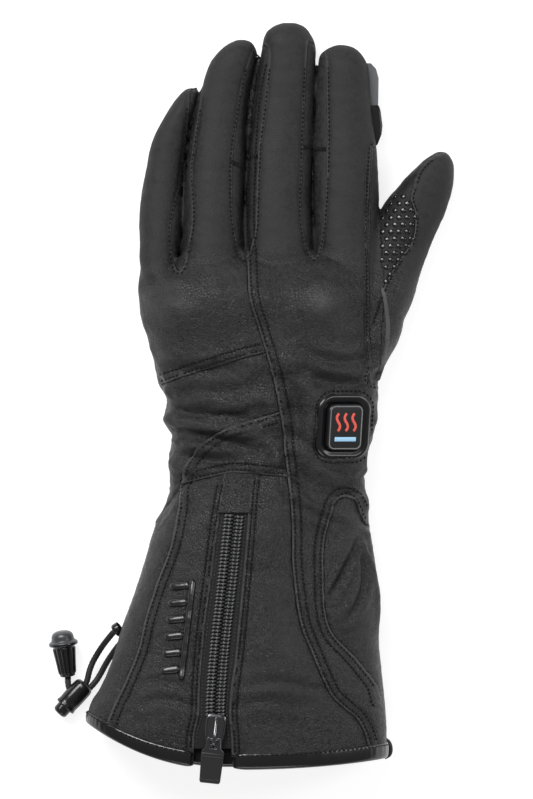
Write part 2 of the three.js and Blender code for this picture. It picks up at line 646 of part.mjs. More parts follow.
// Panels of the back
const westOfCentre = back.intersect(besideSeam(CENTRAL_SEAM, -1));
let indexPanel = back.intersect(besideSeam(CENTRAL_SEAM, 1)).subtract(area(POCKET_SEAM, SEAM_GAP / 2));
indexPanel = indexPanel.subtract(area(INDEX_SIDE_SEAM, SEAM_GAP / 2)).subtract(buttonHole);
let littlePanel = westOfCentre.intersect(acrossSeam(KNUCKLE_CROSS_SEAM, 1));
for (const hole of fourchetteHoles) {
  indexPanel = indexPanel.subtract(hole);
  littlePanel = littlePanel.subtract(hole);
}
// One skin on the real glove, parted here at the fingers' roots so that each tube can be hollow in physics
const fingerLine = [[60, 67.5], [-60, 67.5]];
const betweenFingers = [[21.2, 110], [21.2, 60]];
const indexFingers = indexPanel.intersect(acrossSeam(fingerLine, 1));
piece("back_panel_index", indexPanel.intersect(acrossSeam(fingerLine, -1)), LEATHER);
piece("middle_finger_back", indexFingers.intersect(besideSeam(betweenFingers, -1)), LEATHER);
piece("index_finger_back", indexFingers.intersect(besideSeam(betweenFingers, 1)), LEATHER);
piece("back_panel_little", littlePanel, LEATHER);
piece(
  "wrist_panel_upper",
  westOfCentre.intersect(acrossSeam(KNUCKLE_CROSS_SEAM, -1)).intersect(acrossSeam(WRIST_ARC_SEAM, 1)),
  LEATHER,
);
piece(
  "wrist_panel_lower",
  westOfCentre.intersect(acrossSeam(WRIST_ARC_SEAM, -1)).intersect(acrossSeam(WRIST_CROSS_SEAM, 1)),
  LEATHER,
);
const cuffBack = westOfCentre.intersect(acrossSeam(WRIST_CROSS_SEAM, -1)).intersect(acrossSeam(WRIST_ARC_SEAM, -1));
const cuffInnerSide = cuffBack.intersect(besideSeam(CUFF_SIDE_SEAM, 1));
piece("cuff_gusset", cuffBack.intersect(besideSeam(CUFF_SIDE_SEAM, -1)), LEATHER);
piece("cuff_panel_outer", cuffInnerSide.intersect(besideSeam(ZIP_LITTLE_LINE, -1)), LEATHER);
piece("cuff_panel_inner", cuffInnerSide.intersect(besideSeam(ZIP_INDEX_LINE, 1)), LEATHER);
piece("cuff_pocket_panel", back.intersect(area(POCKET_SEAM, -SEAM_GAP / 2)), LEATHER);

// Palm side
const wristLine = [[60, 38], [-60, 38]];
piece("palm_panel", front.intersect(acrossSeam(wristLine, 1)), LEATHER);
piece("cuff_underside", front.intersect(acrossSeam(wristLine, -1)), LEATHER);

// Thumb: cut off where it meets the hand, and parted along its inner seam
const thumb = skin(fingerRings(THUMB, 0, THUMB_SIDES))
  .subtract(thumbInner)
  .subtract(handOuter(-SEAM_GAP, SHELL_START));
piece("thumb_back", thumb.intersect(besideSeam(THUMB_SEAM, 1)), LEATHER);
piece("thumb_palm", thumb.intersect(besideSeam(THUMB_SEAM, -1)), GLOSS_LEATHER);

// Hem binding: a turned band round the cuff's mouth, open under the zip
const zipField = besideSeam(ZIP_LITTLE_LINE, 1).intersect(besideSeam(ZIP_INDEX_LINE, -1));
const band = (outset, inset) =>
  skin(bodyRings(-outset, 0, BINDING_TOP)).subtract(skin(bodyRings(inset, -2, BINDING_TOP + 2)));
piece(
  "hem_binding",
  band(BINDING_PROUD, WALL + BINDING_PROUD).subtract(zipField.intersect(splitSide(1))),
  GLOSS_LEATHER,
);

// Zip: woven tape, two coils that follow its middle, a leather patch at the top
const layer = (outer, inner, from) =>
  skin(bodyRings(outer, from, BODY_END)).subtract(skin(bodyRings(inner, from - 1, BODY_END)));
const PATCH_END = 34.0; // percent of the length where the top patch ends and the coils begin
const SLIDER_AT = 5.1;
const patchLine = [[20, PATCH_END], [-40, PATCH_END - 0.3]];
const zipPlan = zipField.intersect(splitSide(1)).intersect(acrossSeam(WRIST_CROSS_SEAM, -1));
piece("zip_top_patch", layer(0, WALL, 10).intersect(zipPlan).intersect(acrossSeam(patchLine, 1)), LEATHER);
piece(
  "zip_tape",
  layer(ZIP_TAPE_DEPTH, WALL, 0.3).intersect(zipPlan).intersect(acrossSeam(patchLine, -1)),
  NYLON,
);
const middleLine = ZIP_MIDDLE.map(place);
const coilSpan = splitSide(1)
  .intersect(acrossSeam(patchLine, -1))
  .intersect(acrossSeam([[20, SLIDER_AT + 2.5], [-40, SLIDER_AT + 2.5]], 1));
for (const [name, side] of [["zip_coil_little", -1], ["zip_coil_index", 1]]) {
  const edge = (offset) => shifted(middleLine, -side * offset);
  const strip = prism([...edge(SEAM_GAP / 2), ...edge(ZIP_COIL_WIDTH).reverse()]);
  piece(
    name,
    layer(-ZIP_COIL_PROUD, ZIP_TAPE_DEPTH - SEAM_GAP, 0.3).intersect(strip).intersect(coilSpan),
    NYLON,
  );
}

// Zip slider with its crown, and the pull whose pin turns in the crown's window
const SLIDER_POINT = place([-19.3, SLIDER_AT]);
const slider = new THREE.Group();
slider.position.set(...SLIDER_POINT, backHeight(...SLIDER_POINT) - ZIP_TAPE_DEPTH + 2 * SEAM_GAP);
slider.rotation.z = THREE.MathUtils.degToRad(SLIDER_TURN);
function alongX(points, width) {
  const shape = new THREE.Shape(points.map(([y, z]) => new THREE.Vector2(y, z)));
  const made = new THREE.ExtrudeGeometry(shape, { depth: width, bevelEnabled: false });
  return solid(made.rotateY(Math.PI / 2).rotateX(Math.PI / 2).translate(-width / 2, 0, 0));
}
const nose = SLIDER_LENGTH / 2;
const shoulder = SLIDER_WIDTH / 2;
const sliderPlan = [
  [-shoulder * 0.6, -nose], [shoulder * 0.6, -nose], [shoulder, -nose * 0.1], [shoulder, nose * 0.7],
  [shoulder * 0.75, nose], [-shoulder * 0.75, nose], [-shoulder, nose * 0.7], [-shoulder, -nose * 0.1],
];
const PIN_Y = -nose + CROWN_THICK + CROWN_WINDOW / 2 + 1.2;
const PIN_Z = SLIDER_HEIGHT + CROWN_WINDOW / 2;
const crownEnd = PIN_Y - CROWN_WINDOW / 2 - CROWN_THICK;
const crown = alongX(
  [
    [crownEnd, SLIDER_HEIGHT - 0.5], [crownEnd + 0.4, PIN_Z + CROWN_WINDOW / 2 + CROWN_THICK],
    [PIN_Y + CROWN_WINDOW, PIN_Z + CROWN_WINDOW / 2 + CROWN_THICK], [nose * 0.8, SLIDER_HEIGHT + 0.3],
    [nose * 0.8, SLIDER_HEIGHT - 0.5],
  ].reverse(),
  CROWN_WIDTH,
).subtract(
  alongX(
    [
      [PIN_Y - CROWN_WINDOW / 2, SLIDER_HEIGHT], [PIN_Y - CROWN_WINDOW / 2, PIN_Z + CROWN_WINDOW / 2],
      [PIN_Y + CROWN_WINDOW / 2, PIN_Z + CROWN_WINDOW / 2], [PIN_Y + CROWN_WINDOW / 2, SLIDER_HEIGHT],
    ].reverse(),
    CROWN_WIDTH + 2,
  ),
);
piece("zip_slider", prism(sliderPlan, 0, SLIDER_HEIGHT).add(crown), METAL, slider);
const pull = new THREE.Group();
pull.position.set(0, PIN_Y, PIN_Z);
pull.rotation.x = THREE.MathUtils.degToRad(PULL_REST_TILT);
const armInner = CROWN_WIDTH / 2 + SEAM_GAP;
const armOuter = armInner + 1.7;
const forkEnd = -CROWN_WINDOW / 2 - CROWN_THICK - 1.6;
const pullPlan = [
  [-armOuter, PULL_PIN_RADIUS], [-armInner, PULL_PIN_RADIUS], [-armInner, forkEnd], [armInner, forkEnd],
  [armInner, PULL_PIN_RADIUS], [armOuter, PULL_PIN_RADIUS], [armOuter + 0.4, forkEnd],
  [PULL_WIDTH / 2, forkEnd - 1.6], [PULL_WIDTH / 2, 1 - PULL_LENGTH], [PULL_WIDTH / 2 - 1, -PULL_LENGTH],
  [1 - PULL_WIDTH / 2, -PULL_LENGTH], [-PULL_WIDTH / 2, 1 - PULL_LENGTH], [-PULL_WIDTH / 2, forkEnd - 1.6],
  [-armOuter - 0.4, forkEnd],
].reverse();
const pin = new THREE.CylinderGeometry(PULL_PIN_RADIUS, PULL_PIN_RADIUS, 2 * armInner + 1, 12).rotateZ(Math.PI / 2);
piece("zip_pull", prism(pullPlan, -PULL_THICK / 2, PULL_THICK / 2).add(solid(pin)), METAL, pull);
slider.add(pull);
glove.add(slider);

// Plain raised comb on the outer cuff panel
const comb = Array.from({ length: COMB.bars }, (_, i) => {
  const at = COMB.first + ((COMB.last - COMB.first) * i) / (COMB.bars - 1);
  const edge = ([x0, a0, x1, a1]) => x0 + ((x1 - x0) * (at - a0)) / (a1 - a0);
  const low = edge(COMB.outer);
  const high = edge(COMB.inner) + 1;
  const half = ((COMB.barWidth / 2) * KNUCKLE_WIDTH) / GLOVE_LENGTH;
  return prism([[low, at - half], [high, at - half + 0.3], [high, at + half + 0.3], [low, at + half]].map(place));
}).reduce((sum, bar) => sum.add(bar), prism([...COMB.spine].reverse().map(place)));
piece("raised_comb", layer(-1.1, -SEAM_GAP, 5).intersect(comb).intersect(splitSide(1)), GLOSS_LEATHER);

// Visor wiper on the side of the index finger: a grey blade above a leather foot
const indexClear = skin(fingerRings(FINGERS.index, -SEAM_GAP, FINGER_SIDES));
const wiper = (points) =>
  prism(points.map(place), WIPER_HEIGHT - WIPER_THICK / 2, WIPER_HEIGHT + WIPER_THICK / 2).subtract(indexClear);
const BLADE = [[40.5, 89.1], [48.0, 89.1], [48.2, 92.6], [47.2, 93.8], [45.0, 94.6], [41.5, 94.6]];
const WIPER_FOOT = [[44, 83.3], [47.6, 83.5], [49.4, 85.0], [49.8, 86.2], [49.0, 88.2], [48.2, 89.0], [42, 89.0]];
piece("wiper_blade", wiper(BLADE), GREY_RUBBER);
piece("wiper_foot", wiper(WIPER_FOOT), GLOSS_LEATHER);

// Drawcord: eyelet, elastic cord, spring lock with its plunger, and a ribbed cord end
const onFloor = ([a, l, z]) => new THREE.Vector3(...place([a, l]), z);
function tube(route) {
  const path = new THREE.CatmullRomCurve3(route.map(onFloor));
  const section = new THREE.Shape().absarc(0, 0, CORD_DIAMETER / 2, 0, 2 * Math.PI);
  const steps = Math.max(Math.ceil(path.getLength() / (2 * CORD_DIAMETER)), 4);
  return new THREE.ExtrudeGeometry(section, { extrudePath: path, steps, curveSegments: 4, bevelEnabled: false });
}
piece("drawcord", tube(CORD_ROUTE), NYLON);
piece("drawcord_tail", tube(CORD_TAIL), NYLON);
function turned(from, to) {
  return new THREE.Quaternion().setFromUnitVectors(new THREE.Vector3(0, 1, 0), to.clone().sub(from).normalize());
}
function lathe(profile, sides) {
  return new THREE.LatheGeometry(profile.map(([r, y]) => new THREE.Vector2(r, y)), sides);
}
const exit = onFloor(CORD_ROUTE[0]);
const cuffSide = exit.clone().lerp(onFloor(CORD_ROUTE[1]), -1).sub(exit).setLength(EYELET_DEPTH).add(exit);
const eyelet = lathe(
  [[CORD_DIAMETER / 2 + SEAM_GAP, 0], [EYELET_RADIUS - 0.4, 0], [EYELET_RADIUS, 0.5], [EYELET_RADIUS, EYELET_DEPTH],
    [CORD_DIAMETER / 2 + SEAM_GAP, EYELET_DEPTH], [CORD_DIAMETER / 2 + SEAM_GAP, 0]],
  12,
);
const eyeletMesh = new THREE.Mesh(eyelet);
eyeletMesh.quaternion.copy(turned(exit, cuffSide));
eyeletMesh.position.copy(exit).lerp(cuffSide, -0.25);
eyeletMesh.updateMatrixWorld(true);
piece(
  "cord_eyelet",
  solid(eyelet.clone().applyMatrix4(eyeletMesh.matrixWorld)).subtract(handOuter(-SEAM_GAP, SHELL_START)),
  PLASTIC,
);

const lock = new THREE.Group();
lock.position.copy(onFloor([-77.3, 9.5, LOCK_RADIUS + 0.1]));
lock.quaternion.copy(turned(new THREE.Vector3(), new THREE.Vector3(-0.68, -0.73, 0)));
const half = LOCK_LENGTH / 2;
const bore = LOCK_RADIUS - LOCK_WALL;
const lockBody = solid(
  lathe(
    [[0, -half], [LOCK_RADIUS - 1, -half], [LOCK_RADIUS, 1 - half], [LOCK_RADIUS, half], [bore, half],
      [bore, half - PLUNGER_LENGTH + PLUNGER_SHOWS - PLUNGER_TRAVEL - SEAM_GAP],
      [0, half - PLUNGER_LENGTH + PLUNGER_SHOWS - PLUNGER_TRAVEL - SEAM_GAP]],
    14,
  ),
);
piece("cord_lock_barrel", lockBody, PLASTIC, lock);
const plungerLow = half - PLUNGER_LENGTH + PLUNGER_SHOWS;
piece(
  "cord_lock_plunger",
  lathe(
    [[0, plungerLow], [bore - SEAM_GAP, plungerLow], [bore - SEAM_GAP, half + PLUNGER_SHOWS - 0.8],
      [bore - SEAM_GAP - 0.8, half + PLUNGER_SHOWS], [0, half + PLUNGER_SHOWS]],
    14,
  ),
  PLASTIC,
  lock,
);
glove.add(lock);

const bellMouth = onFloor([-80.4, 12.1, BELL_MOUTH_RADIUS + 0.1]);
const bellTop = onFloor([-82.8, 17.9, BELL_FLANGE_RADIUS + 0.1]);
const bell = new THREE.Group();
bell.position.copy(bellMouth);
bell.quaternion.copy(turned(bellMouth, bellTop));
piece(
  "cord_end_bell",
  lathe(
    [[0, 0], [BELL_MOUTH_RADIUS - 0.4, 0], [BELL_MOUTH_RADIUS, 0.5], [BELL_TOP_RADIUS - 0.3, BELL_LENGTH * 0.55],
      [BELL_TOP_RADIUS, BELL_LENGTH * 0.68], [BELL_FLANGE_RADIUS, BELL_LENGTH * 0.7],
      [BELL_FLANGE_RADIUS, BELL_LENGTH * 0.77], [BELL_TOP_RADIUS, BELL_LENGTH * 0.8],
      [BELL_TOP_RADIUS * 0.85, BELL_LENGTH * 0.92], [BELL_TOP_RADIUS * 0.45, BELL_LENGTH], [0, BELL_LENGTH]],
    14,
  ),
  PLASTIC,
  bell,
);
glove.add(bell);

export default glove;
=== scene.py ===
import json
import math
import bpy
import numpy as np
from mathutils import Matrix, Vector

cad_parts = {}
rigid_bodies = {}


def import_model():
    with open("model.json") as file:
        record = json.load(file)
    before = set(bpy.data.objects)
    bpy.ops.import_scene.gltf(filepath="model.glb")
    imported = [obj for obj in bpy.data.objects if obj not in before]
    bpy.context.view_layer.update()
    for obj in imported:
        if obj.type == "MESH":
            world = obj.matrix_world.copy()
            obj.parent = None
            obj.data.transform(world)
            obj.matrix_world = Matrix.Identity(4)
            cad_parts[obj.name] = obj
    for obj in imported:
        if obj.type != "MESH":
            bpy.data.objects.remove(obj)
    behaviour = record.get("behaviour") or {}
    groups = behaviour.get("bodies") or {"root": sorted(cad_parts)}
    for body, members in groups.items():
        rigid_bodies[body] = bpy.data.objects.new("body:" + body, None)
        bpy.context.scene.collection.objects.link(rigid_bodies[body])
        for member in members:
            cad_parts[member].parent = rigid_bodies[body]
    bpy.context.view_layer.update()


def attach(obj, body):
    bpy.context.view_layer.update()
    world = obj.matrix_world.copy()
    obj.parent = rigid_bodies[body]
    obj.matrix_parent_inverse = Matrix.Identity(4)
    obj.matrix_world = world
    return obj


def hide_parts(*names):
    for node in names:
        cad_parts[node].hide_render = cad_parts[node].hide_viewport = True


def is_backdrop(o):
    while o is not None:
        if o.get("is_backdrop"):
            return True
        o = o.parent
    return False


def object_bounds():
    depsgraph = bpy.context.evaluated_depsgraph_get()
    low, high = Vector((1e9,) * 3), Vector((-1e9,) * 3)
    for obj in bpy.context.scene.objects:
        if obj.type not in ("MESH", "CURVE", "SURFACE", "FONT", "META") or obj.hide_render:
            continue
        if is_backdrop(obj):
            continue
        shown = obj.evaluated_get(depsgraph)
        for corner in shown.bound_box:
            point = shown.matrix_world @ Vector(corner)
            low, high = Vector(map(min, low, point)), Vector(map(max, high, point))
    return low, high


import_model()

for name in ("Cube", "Light", "Camera"):
    if name in bpy.data.objects:
        bpy.data.objects.remove(bpy.data.objects[name])

# Camera and studio.
# The glove lies palm down, so the camera hangs straight above its back, with the fingers up the picture.
# A faint white dome, a broad soft box high at the left, a strip at the right, one overhead and a low one.
scene = bpy.context.scene
scene.view_settings.view_transform = "Standard"
scene.view_settings.look = "None"
LENS = 600.0
FRAME_HEIGHT = 0.3596
CAMERA_ABOVE = FRAME_HEIGHT * LENS / 36.0
camera_data = bpy.data.cameras.new("camera")
camera_data.lens = LENS
camera_data.sensor_width = 36.0
camera_data.clip_end = 60.0
camera = bpy.data.objects.new("camera", camera_data)
scene.collection.objects.link(camera)
camera.location = (0.0020, 0.0002, 0.020 + CAMERA_ABOVE)
camera.rotation_euler = (0.0, 0.0, 0.0)
scene.camera = camera

world = bpy.data.worlds.new("studio")
scene.world = world
world.use_nodes = True
world.node_tree.nodes["Background"].inputs["Color"].default_value = (1.0, 1.0, 1.0, 1.0)
world.node_tree.nodes["Background"].inputs["Strength"].default_value = 0.24


def soft_box(name, place, aim, width, length, watts):
    """A rectangular lamp of width x length metres at place, facing the point aim."""
    data = bpy.data.lights.new(name, "AREA")
    data.shape = "RECTANGLE"
    data.size = width
    data.size_y = length
    data.energy = watts
    lamp = bpy.data.objects.new(name, data)
    scene.collection.objects.link(lamp)
    lamp.location = place
    toward = Vector(aim) - Vector(place)
    lamp.rotation_euler = toward.to_track_quat("-Z", "Y").to_euler()
    lamp.visible_camera = False


soft_box("key_light", (-0.55, 0.75, 0.95), (0.0, 0.0, 0.0), 0.8, 0.45, 15.0)
soft_box("strip_light", (0.95, 0.20, 0.60), (0.0, 0.0, 0.0), 0.25, 1.1, 5.0)
soft_box("overhead_light", (-0.12, 0.48, 1.05), (0.0, 0.0, 0.0), 0.42, 0.42, 2.9)
soft_box("low_light", (-0.10, -1.1, 0.75), (0.0, 0.0, 0.0), 0.9, 0.3, 3.0)


def plain_material(name, colour, roughness, specular=0.5, metallic=0.0):
    """A Principled material with one colour, given as linear red, green and blue."""
    material = bpy.data.materials.new(name)
    material.use_nodes = True
    shader = material.node_tree.nodes["Principled BSDF"]
    shader.inputs["Base Color"].default_value = (*colour, 1.0)
    shader.inputs["Roughness"].default_value = roughness
    shader.inputs["Specular IOR Level"].default_value = specular
    shader.inputs["Metallic"].default_value = metallic
    return material


FLOOR_HALF, FLOOR_Z = 4.0, -0.0002
floor_mesh = bpy.data.meshes.new("floor")
corners = [(x * FLOOR_HALF, y * FLOOR_HALF, FLOOR_Z) for x, y in ((-1, -1), (1, -1), (1, 1), (-1, 1))]
floor_mesh.from_pydata(corners, [], [(0, 1, 2, 3)])
floor = bpy.data.objects.new("floor", floor_mesh)
scene.collection.objects.link(floor)
floor_material = plain_material("pale_floor", (0.4, 0.4, 0.4), 0.9, 0.05)
floor_shader = floor_material.node_tree.nodes["Principled BSDF"]
floor_shader.inputs["Emission Color"].default_value = (1.0, 1.0, 1.0, 1.0)
floor_shader.inputs["Emission Strength"].default_value = 0.8
floor_mesh.materials.append(floor_material)
floor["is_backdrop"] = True

# Drawcord.
# Braided black elastic, 2.8 mm thick, that leaves the cuff through an eyelet, goes into a spring lock, turns
# round in it and ends in the mouth of a ribbed cord end.
MM = 0.001


def smooth_line(points, step):
    """A Catmull-Rom line through the points, resampled about every step.
    p(t) = 0.5 (2 p1 + (p2-p0) t + (2 p0-5 p1+4 p2-p3) t^2 + (3 p1-p0-3 p2+p3) t^3)."""
    p = np.asarray(points, float)
    p = np.vstack([2 * p[0] - p[1], p, 2 * p[-1] - p[-2]])
    t = np.linspace(0, 1, 24, endpoint=False)[None, :, None]
    a, b, c, d = p[:-3, None], p[1:-2, None], p[2:-1, None], p[3:, None]
    dense = 0.5 * (2 * b + (c - a) * t + (2 * a - 5 * b + 4 * c - d) * t**2 + (3 * b - a - 3 * c + d) * t**3)
    dense = np.vstack([dense.reshape(-1, p.shape[1]), p[-2]])
    run = np.concatenate([[0], np.cumsum(np.linalg.norm(np.diff(dense, axis=0), axis=1))])
    count = max(int(round(run[-1] / step)), 2) + 1
    at = np.linspace(0, run[-1], count)
    return np.stack([np.interp(at, run, dense[:, i]) for i in range(p.shape[1])], axis=1)


def make(name, points, faces, material, body="glove"):
    """A smooth mesh object from an array of points in millimetres and an array of faces with 4 corners."""
    points = np.ascontiguousarray(points, dtype=np.float32) * MM
    faces = np.ascontiguousarray(faces, dtype=np.int32)
    sides = faces.shape[1]
    mesh = bpy.data.meshes.new(name)
    mesh.vertices.add(len(points))
    mesh.vertices.foreach_set("co", points.ravel())
    mesh.loops.add(faces.size)
    mesh.loops.foreach_set("vertex_index", faces.ravel())
    mesh.polygons.add(len(faces))
    mesh.polygons.foreach_set("loop_start", np.arange(0, faces.size, sides, dtype=np.int32))
    mesh.update(calc_edges=True)
    mesh.validate()
    mesh.polygons.foreach_set("use_smooth", np.full(len(mesh.polygons), True))
    mesh.materials.append(material)
    made = bpy.data.objects.new(name, mesh)
    scene.collection.objects.link(made)
    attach(made, body)
    return made


def grid_faces(rows, columns, wrap=False):
    """Quads of a rows x columns grid of points, joined round its columns where wrap is set."""
    r = np.arange(rows - 1)[:, None]
    c = np.arange(columns if wrap else columns - 1)[None, :]
    n = (c + 1) % columns
    low, high = r * columns, (r + 1) * columns
    return np.stack([low + c, low + n, high + n, high + c], -1).reshape(-1, 4)


def make_grid(name, skin, material, body="glove", wrap=True, flip=False):
    """A mesh object from a grid of points, its faces turned over where flip is set."""
    faces = grid_faces(*skin.shape[:2], wrap)
    return make(name, skin.reshape(-1, 3), faces[:, ::-1] if flip else faces, material, body)


def tube(line, radius, sides, close=True):
    """A round tube: p(s, a) = line(s) + radius(s, a) (side cos a + up sin a), side being level and up square
    to it. Its ends are drawn together when close is set."""
    tangent = np.gradient(line, axis=0)
    tangent /= np.linalg.norm(tangent, axis=1, keepdims=True)
    side = np.cross(tangent, [0.0, 0.0, 1.0])
    side /= np.maximum(np.linalg.norm(side, axis=1, keepdims=True), 1e-9)
    up = np.cross(side, tangent)
    angle = np.linspace(0, 2 * np.pi, sides, endpoint=False)[None, :, None]
    around = side[:, None] * np.cos(angle) + up[:, None] * np.sin(angle)
    r = np.broadcast_to(np.asarray(radius, float), (len(line), sides))[:, :, None]
    skin = line[:, None] + around * r
    if close:
        begin, end = np.repeat(line[:1, None], sides, 1), np.repeat(line[-1:, None], sides, 1)
        skin = np.concatenate([begin, skin, end])
    return skin.reshape(-1, 3), grid_faces(len(skin), sides, True)


CORD_POINTS = [
    [-65.8, -103.9, 13.0], [-67.1, -104.9, 12.6], [-69.3, -107.5, 10.5], [-71.9, -110.9, 7.5],
    [-74.3, -114.6, 5.2], [-76.5, -118.6, 4.4], [-77.9, -122.3, 4.6], [-78.9, -126.4, 4.8],
    [-80.6, -130.0, 4.9], [-83.6, -132.2, 4.9], [-86.6, -130.9, 4.8], [-87.5, -127.8, 4.5],
    [-87.6, -125.0, 3.8], [-87.8, -123.4, 3.8],
]
CORD_STEP = 0.25


def braided(line):
    """A braided elastic on a line: a tube whose radius swells with |sin(4a + 1.9s) sin(4a - 1.9s)|."""
    run = np.arange(len(line))[:, None] * CORD_STEP
    angle = np.linspace(0, 2 * np.pi, 32, endpoint=False)[None]
    weave = np.abs(np.sin(4 * angle + run * 1.9)) * np.abs(np.sin(4 * angle - run * 1.9))
    return tube(line, 1.27 + 0.16 * weave, 32)


cord_line = smooth_line(CORD_POINTS, CORD_STEP)
braided_material = plain_material("braided_elastic", (0.012, 0.012, 0.013), 0.62, 0.45)
points, faces = braided(cord_line)
drawcord = make("elastic_drawcord", points, faces, braided_material)
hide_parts("drawcord", "drawcord_tail")

# Leather shell of the hand, the fingers, the thumb and the cuff.
# Padded cowhide over wadding and a fleece lining, cut in panels and sewn with lapped, twin-stitched seams.
# The form is lofted from the same sections as the CAD, grown together, puffed between its seams and wrinkled.
LENGTH = 335.0
WIDTH = 109.0
HIGH = 44.0
ORIGIN_ALONG = 49.3
# The cuff and hand: place along the glove, left and right side in percent of WIDTH, top in percent of HIGH
BODY = np.array([
    [-3, -71.9, 51.2, 114], [0, -71.9, 51.2, 114], [3, -71.1, 51.4, 115], [7, -66.5, 50.8, 115],
    [11.7, -62, 49.6, 114], [17.1, -57.9, 48.1, 110], [22.4, -52.9, 48.3, 107],
    [27.8, -48.1, 46.5, 102], [30.5, -45.9, 45, 100],
    [33.2, -43.2, 44, 97], [35.2, -40.1, 43.4, 95], [37.2, -38, 42.4, 93], [39.2, -38.2, 41.9, 91],
    [41.3, -38.6, 42.4, 91], [43, -37.4, 44.2, 91], [44.2, -36.6, 45.2, 92], [45.6, -39, 46.3, 93],
    [47, -40.3, 47.3, 94], [49.3, -39.3, 47.7, 96], [51.3, -42.8, 47.7, 97], [53.8, -44.2, 48.3, 99],
    [57.4, -46.7, 48.8, 100], [59.9, -49.4, 49.2, 100], [62.5, -50.7, 49.4, 98], [64.8, -50.8, 49.6, 94],
    [67.1, -50.5, 49.2, 84], [69.2, -50, 48.8, 66],
])
# Each finger: top at its root and tip, underside at its root, then rows of place along, left and right side
FINGERS = {
    "little": (71, 50, 20, np.array([
        [62, -46.6, -38.1], [67.5, -50.3, -34.9], [70.2, -50.4, -33.9], [73.5, -50.6, -32.9],
        [76.9, -49.8, -32.8], [80.2, -47.9, -32.4], [83.5, -45.9, -31.2],
        [86, -42.4, -30], [88.4, -38, -27.9], [89.9, -34.9, -27],
        [90.9, -32.2, -26.4], [91.3, -30.3, -27.6]])),
    "ring": (82, 52, 20, np.array([
        [62, -30.3, -10], [67.5, -33.3, -7.6], [72.7, -32.2, -7.7], [75.7, -31.9, -7.5], [79.2, -31.8, -7],
        [82.5, -30.6, -6.5], [86, -29.1, -6.1], [89.7, -26.2, -5.2], [92.3, -24, -4], [94.2, -21.9, -2.9],
        [96, -18.2, -2.3], [97.3, -13.2, -4], [97.7, -10.3, -6.5]])),
    "middle": (84, 53, 20, np.array([
        [62, -3.2, 18.1], [67.5, -6.4, 20.6], [72.2, -6.8, 20.6], [75.7, -6.6, 20.2], [79.2, -6.1, 20.3],
        [82.5, -5.6, 20.6], [86, -5.1, 21], [89.4, -4.1, 21.4], [92.9, -2.4, 21.8], [95.3, -0.6, 22.1],
        [97.2, 0.4, 21.9], [98.7, 1.9, 19.8], [99.6, 5.4, 17.2], [100, 8.7, 14]])),
    "index": (76, 52, 20, np.array([
        [62, 24.9, 45.8], [67.5, 22.1, 48.7], [72.2, 21.6, 48.3], [75.7, 21.2, 48.3], [80.2, 21.4, 47.9],
        [83.3, 21.7, 47.3], [87.1, 22.1, 45.6], [89.4, 22.3, 44.6], [91.7, 22.7, 44.2], [94.4, 23.3, 43.4],
        [95.8, 24.2, 40.9], [96.6, 27.3, 38], [97, 30.3, 34.5]])),
    "thumb": (74, 56, 0, np.array([
        [50.5, 28.1, 41], [53.6, 27.3, 50], [55.9, 27.3, 54.1], [58.2, 28.1, 57.4], [59.8, 28.9, 58.3],
        [61.7, 30.2, 60.9], [63.6, 32.2, 62.8], [66.4, 35.5, 65.3], [69.2, 39.3, 68.4], [71.6, 43, 71.3],
        [73.9, 47.1, 74.7], [76.2, 51.7, 77.3], [77.8, 56.2, 78.7], [79.3, 59.9, 79.3], [80.6, 64, 79.3],
        [81.6, 66.9, 78.7], [82.4, 70.5, 77.3], [82.8, 72.7, 75.6]])),
}
# Rises and hollows: middle across and along, half width and length, turn in degrees, lift
RELIEF = [
    [-35.5, 62.5, 11, 12, 0, 7], [-18.5, 62.8, 10, 12, 0, 7], [0.5, 63, 10, 12, 0, 7],
    [24, 62.8, 13, 14, 0, 9],
    [-22, 50.5, 22, 5, 12, -4.5], [-18, 47.4, 20, 4, 14, 3], [-6, 42.6, 20, 4.5, 10, -4.5],
    [16, 44.6, 8, 12, -30, 3], [30, 39.2, 14, 5, -12, -5], [14, 38, 12, 5, 20, 3],
    [24, 31, 12, 9, -30, -3], [-36, 30, 8, 14, -20, 3],
    [-30, 12, 10, 16, -15, -2.5], [10, 16, 18, 20, 0, 2.5],
]
# Padding over the knuckles: x, y, width and height in millimetres
KNUCKLES = [[25.7, 44.0, 11, 2.2], [-36.5, 45.5, 10, 1.6], [-9.0, 47.5, 10, 1.2]]


def column(rows, key, at):
    """One column of a table at places along it, on cubic curves through the rows with central slopes."""
    x, v = rows[:, 0], rows[:, key]
    slope = np.empty(len(x))
    slope[1:-1] = (v[2:] - v[:-2]) / (x[2:] - x[:-2])
    slope[0] = (v[1] - v[0]) / (x[1] - x[0])
    slope[-1] = (v[-1] - v[-2]) / (x[-1] - x[-2])
    at = np.clip(at, x[0], x[-1])
    i = np.clip(np.searchsorted(x, at, side="right") - 1, 0, len(x) - 2)
    w = x[i + 1] - x[i]
    t = (at - x[i]) / w
    rise = (1 + 2 * t) * (1 - t) ** 2 * v[i] + t * (1 - t) ** 2 * w * slope[i]
    return rise + t * t * (3 - 2 * t) * v[i + 1] - t * t * (1 - t) * w * slope[i + 1]


def ease(t):
    t = np.clip(t, 0, 1)
    return t * t * (3 - 2 * t)


def along(percent):
    return (percent - ORIGIN_ALONG) / 100 * LENGTH


def place(rows):
    """Table points [across, along] in percent, as millimetres."""
    rows = np.asarray(rows, float)
    return np.stack([rows[:, 0] / 100 * WIDTH, along(rows[:, 1])], 1)


